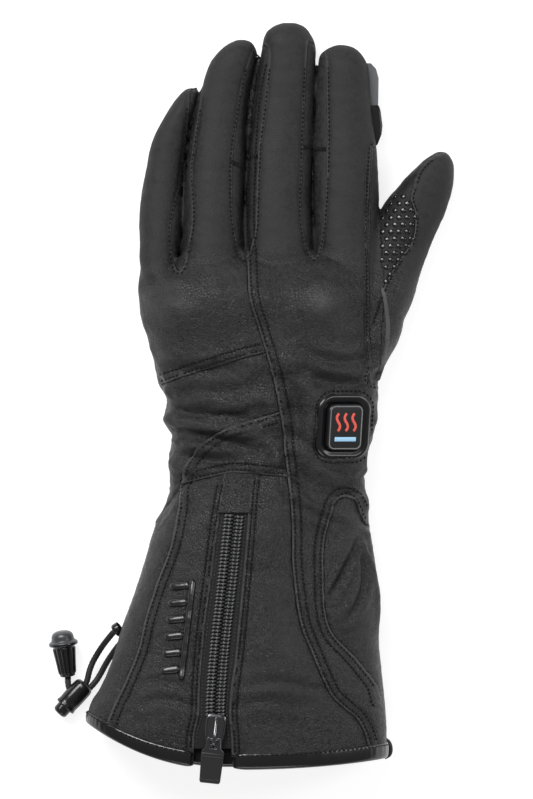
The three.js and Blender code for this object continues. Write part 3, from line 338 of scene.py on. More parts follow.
def relief(x, at):
    """Sum of rounded rises and hollows: lift exp(-1.6 (u^2 + v^2)) in each one's own turned axes."""
    total = np.zeros(np.broadcast(x, at).shape)
    for mid_across, mid_along, wide, long, turn, lift in RELIEF:
        dx = x - mid_across / 100 * WIDTH
        dy = (at - mid_along) / 100 * LENGTH
        c, s = math.cos(math.radians(turn)), math.sin(math.radians(turn))
        u = (dx * c + dy * s) / (wide / 100 * WIDTH)
        v = (dy * c - dx * s) / (long / 100 * WIDTH)
        total = total + lift / 100 * HIGH * np.exp(-1.6 * (u * u + v * v))
    return total


def drift(x, at):
    """How far the hem climbs towards both sides, and the web drops beside the little finger."""
    seen = x - -12.8 / 100 * WIDTH
    span = np.where(seen < 0, 59.1, 64.0) / 100 * WIDTH
    rise = np.where(seen < 0, 20.0, 4.5)
    drop = 5 * ease((at - 62) / 7) * ease((-31 / 100 * WIDTH - x) / (8 / 100 * WIDTH))
    return rise * (1 - np.clip(at / 33, 0, 1)) * np.minimum(np.abs(seen / span), 1.1) ** 2.2 - drop


def body_levels(at):
    top = column(BODY, 3, at) / 100 * HIGH
    under = 0.22 * HIGH * ease((at - 61) / 10) - 1.2
    widest = 0.4 * top + 0.1 * HIGH * ease((at - 61) / 10)
    return top, under, widest


def body_skin(at, angle, inset):
    """The cuff and hand: a flattened oval round each place along the glove,
    x = mid + half |cos|^(2/p), z = widest + |sin|^(2/p) (top or under - widest), cut flat where it rests."""
    left = column(BODY, 1, at) / 100 * WIDTH + inset
    right = column(BODY, 2, at) / 100 * WIDTH - inset
    top, under, widest = body_levels(at)
    top, under = top - inset, under + inset
    c, s = np.cos(angle), np.sin(angle)
    power = np.where(s > 0, 2.3, 3.4)
    x = (left + right) / 2 + (right - left) / 2 * np.sign(c) * np.abs(c) ** (2 / power)
    z = widest + np.abs(s) ** (2 / power) * (np.where(s > 0, top, under) - widest)
    z = np.maximum(z, inset)
    share = (z - widest) / (top - widest)
    z = z + np.where(share > 0, relief(x, at) * ease(1.5 * share), 0)
    grown = (right - left + 2 * inset) / (right - left)
    y = along(at) + drift((left + right) / 2 + (x - (left + right) / 2) * grown, at)
    return np.stack([x, y, z], -1)


def finger_levels(name, at):
    root_top, tip_top, root_under, rows = FINGERS[name]
    share = (at - rows[0, 0]) / (rows[-1, 0] - rows[0, 0])
    nose = np.minimum((rows[-1, 0] - at) / 100 * LENGTH / 11, 1)
    full = np.sqrt(np.maximum(1 - (1 - nose) ** 2, 0.012))
    top = (root_top + (tip_top - root_top) * ease(share)) / 100 * HIGH
    under = root_under / 100 * HIGH * (1 - ease(1.5 * share)) + 0.2
    return (top + under) / 2, (top - under) / 2 * full, nose


def finger_skin(name, at, angle, inset):
    """A finger: ovals round its middle height, drawn together into a round nose over the last 11 mm."""
    rows = FINGERS[name][3]
    left, right = column(rows, 1, at) / 100 * WIDTH, column(rows, 2, at) / 100 * WIDTH
    mid, half, nose = finger_levels(name, at)
    c, s = np.cos(angle), np.sin(angle)
    power = np.where(s > 0, 2.3, 2.6)
    wide = np.maximum((right - left) / 2 - inset, 0.2)
    x = (left + right) / 2 + wide * np.sign(c) * np.abs(c) ** (2 / power)
    z = mid + np.sign(s) * np.abs(s) ** (2 / power) * np.maximum(half - inset, 0.2)
    return np.stack([x, along(at) - inset * (1 - nose) + 0 * x, z], -1)


def with_ends(skin):
    """A grid of points whose rows are rings, closed by a ring drawn into its middle at each end."""
    ends = skin[[0, -1]].mean(axis=1)
    sides = skin.shape[1]
    return np.concatenate([np.repeat(ends[:1, None], sides, 1), skin, np.repeat(ends[1:, None], sides, 1)])


def closed_loft(skin):
    skin = with_ends(skin)
    return skin.reshape(-1, 3), grid_faces(*skin.shape[:2], True)


VOXEL = 0.95
UNDER_GROWN = 0.35
ring_angle = np.linspace(0, 2 * np.pi, 120, endpoint=False)[None]
lofts = [closed_loft(body_skin(np.linspace(-1.5, 69.2, 240)[:, None], ring_angle, UNDER_GROWN))]
for finger, (_, _, _, rows) in FINGERS.items():
    spread = rows[0, 0] + (rows[-1, 0] - rows[0, 0]) * np.sin(np.linspace(0, np.pi / 2, 90))
    lofts.append(closed_loft(finger_skin(finger, spread[:, None], ring_angle[:, ::2], UNDER_GROWN)))
offset = np.cumsum([0] + [len(p) for p, _ in lofts])
loft_points = np.vstack([p for p, _ in lofts])
loft_faces = np.vstack([f + o for (_, f), o in zip(lofts, offset)])


def node_group(name, inputs, outputs):
    """An empty shader group with named float sockets, and its input and output nodes."""
    group = bpy.data.node_groups.new(name, "ShaderNodeTree")
    for socket, value in inputs:
        made = group.interface.new_socket(name=socket, in_out="INPUT", socket_type="NodeSocketFloat")
        made.default_value = value
    for socket in outputs:
        group.interface.new_socket(name=socket, in_out="OUTPUT", socket_type="NodeSocketFloat")
    return group, group.nodes.new("NodeGroupInput"), group.nodes.new("NodeGroupOutput")


def reckon(tree, operation, a, b, clamp=False):
    """A Math node on two values, each a socket or a number."""
    node = tree.nodes.new("ShaderNodeMath")
    node.operation = operation
    node.use_clamp = clamp
    for socket, value in zip(node.inputs, (a, b)):
        if isinstance(value, (int, float)):
            socket.default_value = value
        else:
            tree.links.new(value, socket)
    return node.outputs[0]


def plus(tree, a, b, clamp=False):
    return reckon(tree, "ADD", a, b, clamp)


def less(tree, a, b):
    return reckon(tree, "SUBTRACT", a, b)


def times(tree, a, b):
    return reckon(tree, "MULTIPLY", a, b)


grain, grain_in, grain_out = node_group("leather_grain", [("Cell", 1.15), ("Crease", 0.9)], ["Height", "Tone"])
n, k = grain.nodes, grain.links
spot = n.new("ShaderNodeTexCoord").outputs["Object"]
metres_to_mm = n.new("ShaderNodeVectorMath")
metres_to_mm.operation = "SCALE"
metres_to_mm.inputs["Scale"].default_value = 1000.0
k.new(spot, metres_to_mm.inputs[0])
pebbles = n.new("ShaderNodeTexVoronoi")
pebbles.feature = "DISTANCE_TO_EDGE"
k.new(metres_to_mm.outputs[0], pebbles.inputs["Vector"])
k.new(grain_in.outputs["Cell"], pebbles.inputs["Scale"])
creases = n.new("ShaderNodeTexNoise")
creases.inputs["Scale"].default_value = 0.55
creases.inputs["Detail"].default_value = 6.0
creases.inputs["Roughness"].default_value = 0.65
k.new(metres_to_mm.outputs[0], creases.inputs["Vector"])
pebble_height = reckon(grain, "MINIMUM", pebbles.outputs["Distance"], 0.16)
crease_height = times(grain, creases.outputs["Fac"], grain_in.outputs["Crease"])
k.new(plus(grain, times(grain, pebble_height, 2.2), crease_height), grain_out.inputs["Height"])
clouds = n.new("ShaderNodeTexNoise")
clouds.inputs["Scale"].default_value = 0.06
clouds.inputs["Detail"].default_value = 4.0
k.new(metres_to_mm.outputs[0], clouds.inputs["Vector"])
fine_tone = times(grain, less(grain, creases.outputs["Fac"], 0.5), 3.2)
slow_tone = times(grain, less(grain, clouds.outputs["Fac"], 0.5), 1.1)
k.new(plus(grain, plus(grain, slow_tone, fine_tone), 0.5, True), grain_out.inputs["Tone"])

# This group carries the leather's painted light: painted shade in the stitch channels and on the down-turned
# flanks, a painted highlight along the turned lap edges, painted highlight spots on the knuckles and bulges,
# and where the grain is smoothed.
light_and_grain, light_and_grain_in, light_and_grain_out = node_group(
    "painted_light_and_grain", [("Depth", 0.5), ("Lift", 1.0)], ["Shade", "EdgeHighlight", "Grain", "Highlight"]
)
k = light_and_grain.links


def painted(attribute):
    """The value that an attribute of the leather's points gives inside the group."""
    node = light_and_grain.nodes.new("ShaderNodeAttribute")
    node.attribute_name = attribute
    return node.outputs["Fac"]


k.new(painted("painted_highlight"), light_and_grain_out.inputs["Highlight"])
k.new(less(light_and_grain, 1.0, painted("smoothed")), light_and_grain_out.inputs["Grain"])
k.new(less(light_and_grain, 1.0, times(light_and_grain, painted("painted_shade"), light_and_grain_in.outputs["Depth"])), light_and_grain_out.inputs["Shade"])
k.new(times(light_and_grain, painted("edge"), light_and_grain_in.outputs["Lift"]), light_and_grain_out.inputs["EdgeHighlight"])


def leather(name, tone, roughness, bump=0.9, specular=0.38, cell=0.85):
    """Leather of one dark grey: pebbled grain, cloudy wear, painted shade in the stitch channels and on the
    flanks, painted highlights along the turned edges and on spots over the knuckles.
    """
    material = plain_material(name, (tone, tone, tone * 1.03), roughness, specular)
    tree = material.node_tree
    n, k = tree.nodes, tree.links
    shader = n["Principled BSDF"]
    own_grain = n.new("ShaderNodeGroup")
    own_grain.node_tree = grain
    own_grain.inputs["Cell"].default_value = cell
    own_light_and_grain = n.new("ShaderNodeGroup")
    own_light_and_grain.node_tree = light_and_grain
    value = times(tree, plus(tree, own_grain.outputs["Tone"], 0.5), tone)
    # Painted shade darkens the stitch channels and flanks; painted highlights lighten the turned edges and the
    # knuckle spots.
    value = times(tree, value, own_light_and_grain.outputs["Shade"])
    value = plus(tree, value, times(tree, own_light_and_grain.outputs["EdgeHighlight"], tone * 3.0))
    value = plus(tree, value, times(tree, own_light_and_grain.outputs["Highlight"], 0.03))
    colour = n.new("ShaderNodeCombineColor")
    k.new(value, colour.inputs[0])
    k.new(value, colour.inputs[1])
    k.new(times(tree, value, 1.03), colour.inputs[2])
    k.new(colour.outputs[0], shader.inputs["Base Color"])
    rough = plus(tree, times(tree, own_grain.outputs["Tone"], 0.22), roughness - 0.11)
    matt = times(tree, less(tree, 1.0, own_light_and_grain.outputs["Grain"]), 0.38)
    k.new(plus(tree, rough, matt), shader.inputs["Roughness"])
    relief_node = n.new("ShaderNodeBump")
    relief_node.inputs["Strength"].default_value = bump
    relief_node.inputs["Distance"].default_value = 0.00045
    pressed = times(tree, own_grain.outputs["Height"], own_light_and_grain.outputs["Grain"])
    k.new(pressed, relief_node.inputs["Height"])
    k.new(relief_node.outputs["Normal"], shader.inputs["Normal"])
    return material


leather_material = leather("cowhide", 0.0145, 0.42, 1.0, 0.32)
grip_material = leather("grip_cowhide", 0.004, 0.42, 0.5, 0.35)
form = make("form", loft_points, loft_faces, leather_material)
grow = form.modifiers.new("grow", "REMESH")
grow.mode = "VOXEL"
grow.voxel_size = VOXEL * MM
grown = form.evaluated_get(bpy.context.evaluated_depsgraph_get()).to_mesh()
verts = np.empty(len(grown.vertices) * 3, np.float32)
grown.vertices.foreach_get("co", verts)
verts = verts.reshape(-1, 3).astype(float) / MM
quads = np.empty(len(grown.loops), np.int32)
grown.loops.foreach_get("vertex_index", quads)
quads = quads.reshape(-1, 4)
form.to_mesh_clear()
bpy.data.objects.remove(form)


def normals_of(points, faces):
    """Unit normals at the points, from the crossed diagonals of the quads round each one."""
    crossed = np.cross(points[faces[:, 2]] - points[faces[:, 0]], points[faces[:, 3]] - points[faces[:, 1]])
    total = np.stack([
        np.bincount(faces.ravel(), np.repeat(crossed[:, i], faces.shape[1]), len(points)) for i in range(3)
    ], 1)
    return total / np.maximum(np.linalg.norm(total, axis=1, keepdims=True), 1e-12)


def relaxed(points, faces, rounds):
    """Moves each point half way to the mean of its neighbours, rounds times."""
    a, b = faces.ravel(), np.roll(faces, -1, axis=1).ravel()
    count = np.maximum(np.bincount(a, minlength=len(points)) + np.bincount(b, minlength=len(points)), 1)
    for _ in range(rounds):
        mean = np.stack([
            (np.bincount(a, points[b, i], len(points)) + np.bincount(b, points[a, i], len(points))) / count
            for i in range(3)
        ], 1)
        points = points + 0.5 * (mean - points)
    return points


verts = relaxed(verts, quads, 5)
verts = verts + normals_of(verts, quads) * (UNDER_GROWN + 0.05)

SEAMS = {
    "central": [[0, 99], [-1.2, 96], [-4, 91], [-5.7, 86], [-6.7, 79], [-7.1, 73], [-6.3, 69.6], [-6, 67.5],
                [-5, 62.9], [-0.8, 58.3], [4.5, 52.4], [8.4, 45.8], [9.1, 43.1], [11.3, 37.1], [12.4, 32.5],
                [12.7, 26.9], [15.5, 20], [20.1, 15.9], [27.7, 10.3], [33.1, 8.3], [38.8, 6.7], [41.9, 5],
                [43.8, 3], [44.6, -0.4]],
    "knuckle": [[0.3, 55.6], [-7.4, 55.0], [-23.6, 53.4], [-37.6, 51.9], [-42.8, 51.3], [-60, 49.5]],
    "arc": [[12, 48.2], [5.8, 47.6], [0.4, 47.0], [-15.1, 45.4], [-25.6, 43.1], [-31.4, 40.5], [-33.9, 37.9],
            [-44, 33]],
    "cross": [[14, 38.9], [7.2, 39.1], [-10.3, 39.6], [-18.6, 39.2], [-33.9, 38.0], [-48, 36.6]],
    "cuff_side": [[-33.9, 37.9], [-34.8, 34.3], [-37.6, 29.8], [-43.4, 24.7], [-47.8, 20.2], [-51, 15.9],
                  [-56.2, 11.6], [-62, 7.5], [-66, 3.6]],
    "zip_little": [[-14.9, 39.6], [-14.9, 38.4], [-16.2, 36.4], [-18.7, 31.2], [-20.8, 25.7], [-23.6, 18.8],
                   [-25.6, 11.3], [-26, 7.3], [-27.7, 4.7], [-28.2, 1], [-28.2, -6]],
    "zip_index": [[-4.3, 39.6], [-4.3, 38.4], [-5, 36.4], [-6.4, 30.6], [-8.3, 23.8], [-11, 14.8],
                  [-12.6, 11.2], [-13.4, 7.3], [-12.6, 4.2], [-12.4, 1], [-12.4, -6]],
}
OUTLINES = {
    "pocket": [[34.1, 36.4], [30.6, 35.8], [28.5, 34.1], [25.6, 30.2], [25.3, 25.7], [26, 21.1], [29.2, 18],
               [38.3, 14.8], [46.7, 11.3], [52, 8.5], [80, 8.5], [80, 32.5], [46, 32.5], [41.7, 33.2],
               [39.7, 34.8], [37.6, 36]],
    "index_side": [[45.2, 83.3], [44.1, 76.9], [43.2, 71.1], [44, 67.2], [44, 58.2], [45, 54.3], [46.2, 51.3],
                   [80, 51.3], [80, 83.3]],
    "little_ring": [[-29.6, 91], [-31.8, 82.9], [-33.6, 78], [-35.5, 75.7], [-37.4, 72.7], [-37.4, 69.8],
                    [-36.4, 67.6], [-34.6, 66.4], [-32.4, 67.2], [-30.6, 69.9], [-29, 72.7], [-29, 75.7],
                    [-29.8, 80.2], [-28.4, 83.7], [-25.4, 91]],
    "ring_middle": [[-3, 96.6], [-7, 92.3], [-10.6, 85.8], [-12.3, 81.2], [-12.3, 75.7], [-11.6, 72.7],
                    [-9.8, 69.5], [-7.2, 68.2], [-4.6, 69.5], [-2.6, 72.3], [-2.2, 75.7], [-1.2, 83.7],
                    [1.2, 90.3], [2.6, 96.6]],
    "middle_index": [[19, 97.6], [18.2, 92.9], [17, 82.5], [16.3, 75.7], [16.8, 72.3], [19, 69.5],
                     [21.2, 68.2], [23.4, 69.5], [25.4, 73.5], [26.8, 81.5], [26.8, 89.4], [25.8, 95.8]],
}
THUMB_SEAM = [[75.4, 84], [75, 82.8], [73.6, 82.3], [69.4, 81.6], [65, 80], [62.5, 77.6], [61.4, 76.2],
              [63.2, 74.2], [62, 70.8], [56.2, 67.9], [50.8, 64.8], [45.5, 60.1], [40, 53], [37, 49]]
SIDE_SPLIT = np.array([[-10, 44], [20, 42], [38, 36], [60, 36], [70, 42], [78, 34], [90, 26], [110, 22]])
seam_lines = {name: smooth_line(place(rows), 2.5) for name, rows in SEAMS.items()}
seam_lines["thumb"] = smooth_line(place(THUMB_SEAM), 2.5)
for name, rows in OUTLINES.items():
    seam_lines[name] = smooth_line(place(rows + rows[:1]), 2.5)


def beside(line, points):
    """Signed distance of plan points from a line, positive to its left, and the nearest point on the line."""
    best = np.full(len(points), 1e18)
    signed = np.zeros(len(points))
    foot = np.zeros((len(points), 2))
    for a, b in zip(line[:-1], line[1:]):
        d = b - a
        r = points - a
        t = np.clip((r @ d) / max(d @ d, 1e-12), 0, 1)
        near = a + t[:, None] * d
        gap = points - near
        square = (gap * gap).sum(1)
        closer = square < best
        best[closer] = square[closer]
        signed[closer] = np.where(d[0] * r[closer, 1] - d[1] * r[closer, 0] > 0, 1.0, -1.0)
        foot[closer] = near[closer]
    return signed * np.sqrt(best), foot


def inside(outline, points):
    """True for plan points within a closed outline, by the crossings of a ray to the east."""
    within = np.zeros(len(points), bool)
    for a, b in zip(outline, np.roll(outline, -1, axis=0)):
        spans = (a[1] > points[:, 1]) != (b[1] > points[:, 1])
        rise = b[1] - a[1] if b[1] != a[1] else 1e-12
        within ^= spans & (points[:, 0] < a[0] + (b[0] - a[0]) * (points[:, 1] - a[1]) / rise)
    return within


def ripples(points, seed, shortest, longest, stretch=(1.0, 1.0, 1.0), waves=28):
    """Smooth noise of about -1 to 1: a mean of sines of seeded directions, wavelengths and phases."""
    rng = np.random.default_rng(seed)
    way = rng.normal(size=(waves, 3))
    way /= np.linalg.norm(way, axis=1, keepdims=True)
    way *= (2 * np.pi / rng.uniform(shortest, longest, waves))[:, None] / np.asarray(stretch)
    phase = rng.uniform(0, 2 * np.pi, waves)
    total = np.zeros(len(points))
    for k, f in zip(way, phase):
        total += np.sin(points @ k + f)
    return total / math.sqrt(waves)


def at_of(x, y):
    """The place along the glove, in percent, whose drifted ring passes through plan points."""
    at = ORIGIN_ALONG + y / LENGTH * 100
    for _ in range(8):
        at = at - (along(at) + drift(x, at) - y) / LENGTH * 100
    return at


# Folds seen in the photo: points in millimetres, half width, depth below the padding
FOLDS = [
    ([[-45, -3], [-30, -6], [-12, -7.5], [-2, -6]], 3.0, 1.5),
    ([[-43, -12], [-28, -16], [-14, -19.5], [-3, -21]], 2.4, 1.0),
    ([[-41, -23], [-30, -26], [-16, -27], [2, -25]], 2.6, 1.1),
    ([[13, -30], [22, -38], [33, -41], [45, -38]], 3.2, 1.6),
    ([[14, -37], [22, -44], [32, -47.5], [41, -48]], 2.2, 0.9),
    ([[16, -46], [24, -51], [33, -54]], 1.8, 0.6),
    ([[12, 8], [15, -2], [15, -12], [13, -22]], 3.5, 1.3),
    ([[20, 12], [30, 8], [42, 7], [52, 9]], 3.0, 1.2),
    ([[18, 22], [28, 18], [40, 17], [50, 20]], 2.2, 0.6),
    ([[44, -60.6], [39.5, -71.5], [34, -82.7], [30.8, -88]], 1.4, 0.9),
    ([[43.5, -68], [45.5, -75], [45, -85], [42, -92.7], [38, -99]], 1.4, 0.8),
    ([[46, -62], [50, -71.5], [52.5, -81.4], [54, -92], [54, -103]], 1.1, 1.0),
    ([[-50, 52], [-42, 47], [-33, 45]], 2.5, 0.5),
    ([[-46, 18], [-38, 14], [-24, 13], [-10, 15]], 2.6, 0.7),
    ([[-8, -128], [4, -126], [18, -128], [30, -131]], 2.0, 0.35),
    ([[-10, -137], [2, -135], [16, -137]], 2.2, 0.35),
    ([[-52, -136], [-44, -134], [-34, -136], [-26, -139]], 1.8, 0.4),
    ([[-54, -128], [-46, -126], [-36, -129]], 1.8, 0.35),
]
start_normals = normals_of(verts, quads)
upward = ease((start_normals[:, 2] + 0.05) / 0.45)
plan = verts[:, :2].copy()
distances, feet = {}, {}
for name, line in seam_lines.items():
    distances[name], feet[name] = beside(line, plan)
nearest_seam = np.min([np.abs(distances[n]) for n in seam_lines if n != "thumb"], axis=0)
puff = 1.05 * (1 - np.exp(-nearest_seam / 4.5)) - 0.5
at_all = at_of(verts[:, 0], verts[:, 1])
creased = np.zeros(len(verts))
for points, wide, deep in FOLDS:
    d = beside(smooth_line(points, 3.0), plan)[0]
    ends = np.minimum(np.linalg.norm(plan - points[0], axis=1), np.linalg.norm(plan - points[-1], axis=1))
    fade = 0.35 + 0.65 * ease(ends / 8)
    shoulders = np.exp(-(((np.abs(d) - 2.1 * wide) / (1.1 * wide)) ** 2))
    creased += 2.0 * deep * fade * (0.45 * shoulders - np.exp(-((d / wide) ** 2)))
wrist = np.exp(-(((verts[:, 1] + 18) / 32) ** 2))
knuckle = np.exp(-(((verts[:, 1] - 46) / 26) ** 2))
fold_noise = ripples(verts, 11, 9, 22, (2.2, 0.9, 1.0))
fine_noise = ripples(verts, 12, 3.2, 7.5, (1.5, 0.9, 1.0))
slow_noise = ripples(verts, 13, 24, 60)
lift = puff * upward + creased * upward
lift += (0.12 + 0.62 * wrist + 0.16 * knuckle) * fold_noise * (0.3 + 0.7 * upward)
lift += (0.06 + 0.14 * wrist) * fine_noise + 0.30 * slow_noise * (0.4 + 0.6 * upward)
fingers = ease((at_all - 70) / 6)
knuckle_lines = np.sin(verts[:, 1] * 2 * np.pi / 7.5 + 0.9 * ripples(verts, 14, 15, 30))
for x, y, wide, high in KNUCKLES:
    lift += high * upward * np.exp(-(((verts[:, 0] - x) ** 2 + (verts[:, 1] - y) ** 2) / wide**2))
lift += 0.035 * fingers * knuckle_lines * upward
on_floor = ease((verts[:, 2] - 0.2) / 3.0)
verts = verts + start_normals * (lift * on_floor)[:, None]
verts[:, 2] = np.maximum(verts[:, 2], 0.02)

# Panels.
# The leather is parted along its seams: each face belongs to the panel that its middle lies in. The panels'
# edges are drawn to the seam lines, raised where they lap over a neighbour and turned down at the rim.
middle = verts[quads].mean(1)
middle_plan = middle[:, :2]
facing = normals_of(verts, quads)[quads].mean(1)[:, 2]
side = {n: beside(line, middle_plan)[0] for n, line in seam_lines.items() if n in SEAMS or n == "thumb"}
within = {n: inside(seam_lines[n][:-1], middle_plan) for n in OUTLINES}
at_middle = at_of(middle[:, 0], middle[:, 1])
split = np.interp(middle[:, 1], along(SIDE_SPLIT[:, 0]), SIDE_SPLIT[:, 1] / 100 * HIGH)
hand_edge = np.where(
    middle[:, 1] < along(67), column(BODY, 2, at_middle), column(FINGERS["index"][3], 2, at_middle)
) / 100 * WIDTH
is_thumb = (middle[:, 0] > hand_edge + 0.5) & (middle[:, 1] > along(50.6))
above = middle[:, 2] > split
HEM_BAND = 7.0 / LENGTH * 100
BEZEL_PLACE = np.array([36.126, -11.938, 34.696])
BEZEL_NORMAL = np.array([0.43261, -0.13566, 0.89131])
BEZEL_UP = np.array([0.05924, 0.99076, 0.12204])
BEZEL_SIDE = np.cross(BEZEL_UP, BEZEL_NORMAL)
BEZEL_HALVES = (13.1, 14.4, 6.6)  # half width, half length and corner of the hole for the button


def round_box(across_, up_, half_wide, half_long, corner):
    """Signed distance of local points from a rectangle with rounded corners, negative inside."""
    q = np.stack([np.abs(across_) - half_wide + corner, np.abs(up_) - half_long + corner], -1)
    return np.linalg.norm(np.maximum(q, 0), axis=-1) + np.minimum(q.max(-1), 0) - corner


from_button = middle - BEZEL_PLACE
bezel_gap = round_box(from_button @ BEZEL_SIDE, from_button @ BEZEL_UP, *BEZEL_HALVES)
is_button = (bezel_gap < -0.4) & (from_button @ BEZEL_NORMAL > -4)
west, east_of_zip, west_of_zip = side["central"] < 0, side["zip_index"] > 0, side["zip_little"] < 0
below_knuckle, below_arc, below_cross = side["knuckle"] > 0, side["arc"] > 0, side["cross"] > 0
cuff_back = west & below_cross & below_arc
PANELS = ["dropped", "thumb_palm", "thumb_back", "palm_panel", "cuff_underside", "fourchette_little_ring",
          "fourchette_ring_middle", "fourchette_middle_index", "index_side_strip", "cuff_pocket_panel",
          "back_panel_index", "cuff_gusset", "cuff_panel_outer", "cuff_panel_inner", "wrist_panel_lower",
          "wrist_panel_upper", "back_panel_little"]
zip_field = above & cuff_back & ~east_of_zip & ~west_of_zip
panel = np.select(
    [
        (at_middle < HEM_BAND - 0.5) | (above & is_button) | zip_field,
        is_thumb & (side["thumb"] < 0), is_thumb, ~above & (middle[:, 1] > along(38)), ~above,
        within["little_ring"], within["ring_middle"], within["middle_index"], within["index_side"],
        within["pocket"], ~west, cuff_back & (side["cuff_side"] < 0), cuff_back & west_of_zip,
        cuff_back & east_of_zip,
        below_arc, below_knuckle,
    ],
    range(16), 16,
)
touching_low = np.full(len(verts), 99)
touching_high = np.full(len(verts), -1)
np.minimum.at(touching_low, quads.ravel(), np.repeat(panel, 4))
np.maximum.at(touching_high, quads.ravel(), np.repeat(panel, 4))
on_edge = touching_low != touching_high
names = list(seam_lines)
gaps = np.abs([distances[n] for n in names])
closest = gaps.argmin(0)
closest_foot = np.take_along_axis(np.array([feet[n] for n in names]), closest[None, :, None], 0)[0]
snap = on_edge & (gaps.min(0) < 1.3) & (upward > 0.02)
verts[snap, :2] += 0.92 * (closest_foot[snap] - plan[snap])

# Which panels lie over their neighbours at each seam, by how much, and which lie under
LAPS = [
    ("central", ["back_panel_index"], 0.62), ("knuckle", ["back_panel_little"], 0.62),
    ("arc", ["wrist_panel_lower"], 0.62), ("cross", ["wrist_panel_lower"], 0.62),
    ("cuff_side", ["cuff_panel_outer"], 0.6), ("pocket", ["back_panel_index"], 0.7),
    ("zip_little", ["cuff_panel_outer"], 0.55), ("zip_index", ["cuff_panel_inner"], 0.55),
    ("index_side", ["back_panel_index"], 0.35), ("little_ring", ["back_panel_little"], 0.35),
    ("ring_middle", ["back_panel_little", "back_panel_index"], 0.35),
    ("middle_index", ["back_panel_index"], 0.35), ("thumb", ["thumb_back"], 0.35),
]
# Rows of stitching pull a channel into the leather: each one's seam and its distance to one side
CHANNELS = [
    ("central", 1.25), ("central", 4.1), ("knuckle", -1.25), ("knuckle", -4.1), ("arc", 1.25), ("arc", 4.1),
    ("cross", -1.25), ("cross", -4.1), ("cuff_side", 1.2), ("cuff_side", 3.9), ("zip_little", -1.3),
    ("zip_little", -3.3), ("zip_index", 1.3), ("zip_index", 3.3), ("pocket", -1.25), ("pocket", -4.0),
    ("index_side", -1.0), ("little_ring", -0.9), ("ring_middle", -0.9), ("middle_index", -0.9), ("thumb", 1.0),
]
# Spots of painted highlight on the knuckles and bulges: x, y, width in millimetres, share
HIGHLIGHT_SPOTS = [(26.0, 44.0, 4.5, 1.0), (-36.5, 45.0, 6.5, 0.35), (4.5, 27.0, 4.5, 0.3), (-1.0, -15.0, 5.0, 0.35)]
normals = normals_of(verts, quads)
top_points = []
for number, name in enumerate(PANELS):
    if number == 0:
        continue
    own = quads[panel == number]
    used, small = np.unique(own, return_inverse=True)
    small = small.reshape(-1, 4)
    part = verts[used].copy()
    raise_by = np.zeros(len(used))
    for seam, over, high in LAPS:
        d = np.abs(distances[seam][used])
        raise_by += high * np.exp(-d / 5.0) if name in over else -0.45 * high * np.exp(-d / 1.5)
    channel_depth = np.zeros(len(used))
    for seam, away in CHANNELS:
        channel_depth = np.maximum(channel_depth, np.exp(-(((distances[seam][used] - away) / 0.75) ** 2)))
    # A painted highlight along the edge of each panel that laps over its neighbour.
    edge_highlight = np.max([
        (name in over) * np.exp(-((distances[seam][used] / 0.9) ** 2)) for seam, over, _ in LAPS
    ], axis=0) * upward[used]
    raise_by -= 0.22 * channel_depth
    # Painted shade on the flanks, darker the more the leather turns away from the top.
    side_shade = 1 - ease((normals[used][:, 2] - 0.0) / 0.42)
    part += normals[used] * (raise_by * upward[used])[:, None]
    top_points.append(part[normals[used][:, 2] > 0.22])
    edges = np.stack([small.ravel(), np.roll(small, -1, axis=1).ravel()], 1)
    key = edges.min(1) * len(used) + edges.max(1)
    _, first, count = np.unique(key, return_index=True, return_counts=True)
    rim = edges[first[count == 1]]
    rim_points = np.unique(rim)
    lower = np.full(len(used), -1)
    lower[rim_points] = len(used) + np.arange(len(rim_points))
    part = np.vstack([part, part[rim_points] - 1.3 * normals[used][rim_points]])
    rim_faces = np.stack([rim[:, 1], rim[:, 0], lower[rim[:, 0]], lower[rim[:, 1]]], 1)
    grips = name == "thumb_palm"
    made = make(name + "_leather", part, np.vstack([small, rim_faces]),
                grip_material if grips else leather_material)
    smooth_part = 0.7 * ease((at_all[used] - 64) / 8)
    # Painted shade: the stitch channels and the down-turned flanks are darkened through this attribute.
    shaded = np.maximum(channel_depth * upward[used], 0.85 * side_shade)
    # Painted highlight spots over the knuckles and bulges.
    highlight_share = np.max([
        share * np.exp(-(((plan[used][:, 0] - x) ** 2 + (plan[used][:, 1] - y) ** 2) / wide**2))
        for x, y, wide, share in HIGHLIGHT_SPOTS
    ], axis=0)
    attributes = (("painted_highlight", highlight_share), ("smoothed", smooth_part), ("painted_shade", shaded), ("edge", edge_highlight))
    for attribute, values in attributes:
        layer = made.data.attributes.new(attribute, "FLOAT", "POINT")
        layer.data.foreach_set("value", np.concatenate([values, values[rim_points]]).astype(np.float32))
    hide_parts(name)
    if name == "back_panel_index":
        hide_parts("middle_finger_back", "index_finger_back")

# Stitching.
# Thick bonded black thread in two rows beside each lapped seam, one row beside the thin ones.
# Every stitch is a short pinched capsule that sinks at both ends, laid on the finished leather.
tops = np.vstack(top_points)
CELL = 1.0
MAP_LOW = np.array([-100.0, -185.0])
cells_wide, cells_long = 200, 370
cell = np.floor((tops[:, :2] - MAP_LOW) / CELL).astype(int)
flat_cell = cell[:, 0] * cells_long + cell[:, 1]
in_cell = np.bincount(flat_cell, minlength=cells_wide * cells_long)
height_map = np.bincount(flat_cell, tops[:, 2], cells_wide * cells_long) / np.maximum(in_cell, 1)
height_map = height_map.reshape(cells_wide, cells_long)
known = in_cell.reshape(cells_wide, cells_long) > 0
covered = known.copy()
for axis, shift in ((0, 1), (0, -1), (1, 1), (1, -1)):
    covered &= np.roll(known, shift, axis)
for _ in range(26):
    total = np.zeros_like(height_map)
    count = np.zeros_like(height_map)
    for axis, shift in ((0, 1), (0, -1), (1, 1), (1, -1)):
        total += np.roll(np.where(known, height_map, 0), shift, axis)
        count += np.roll(known, shift, axis)
    fill = ~known & (count > 0)
    height_map[fill] = total[fill] / count[fill]
    known |= fill


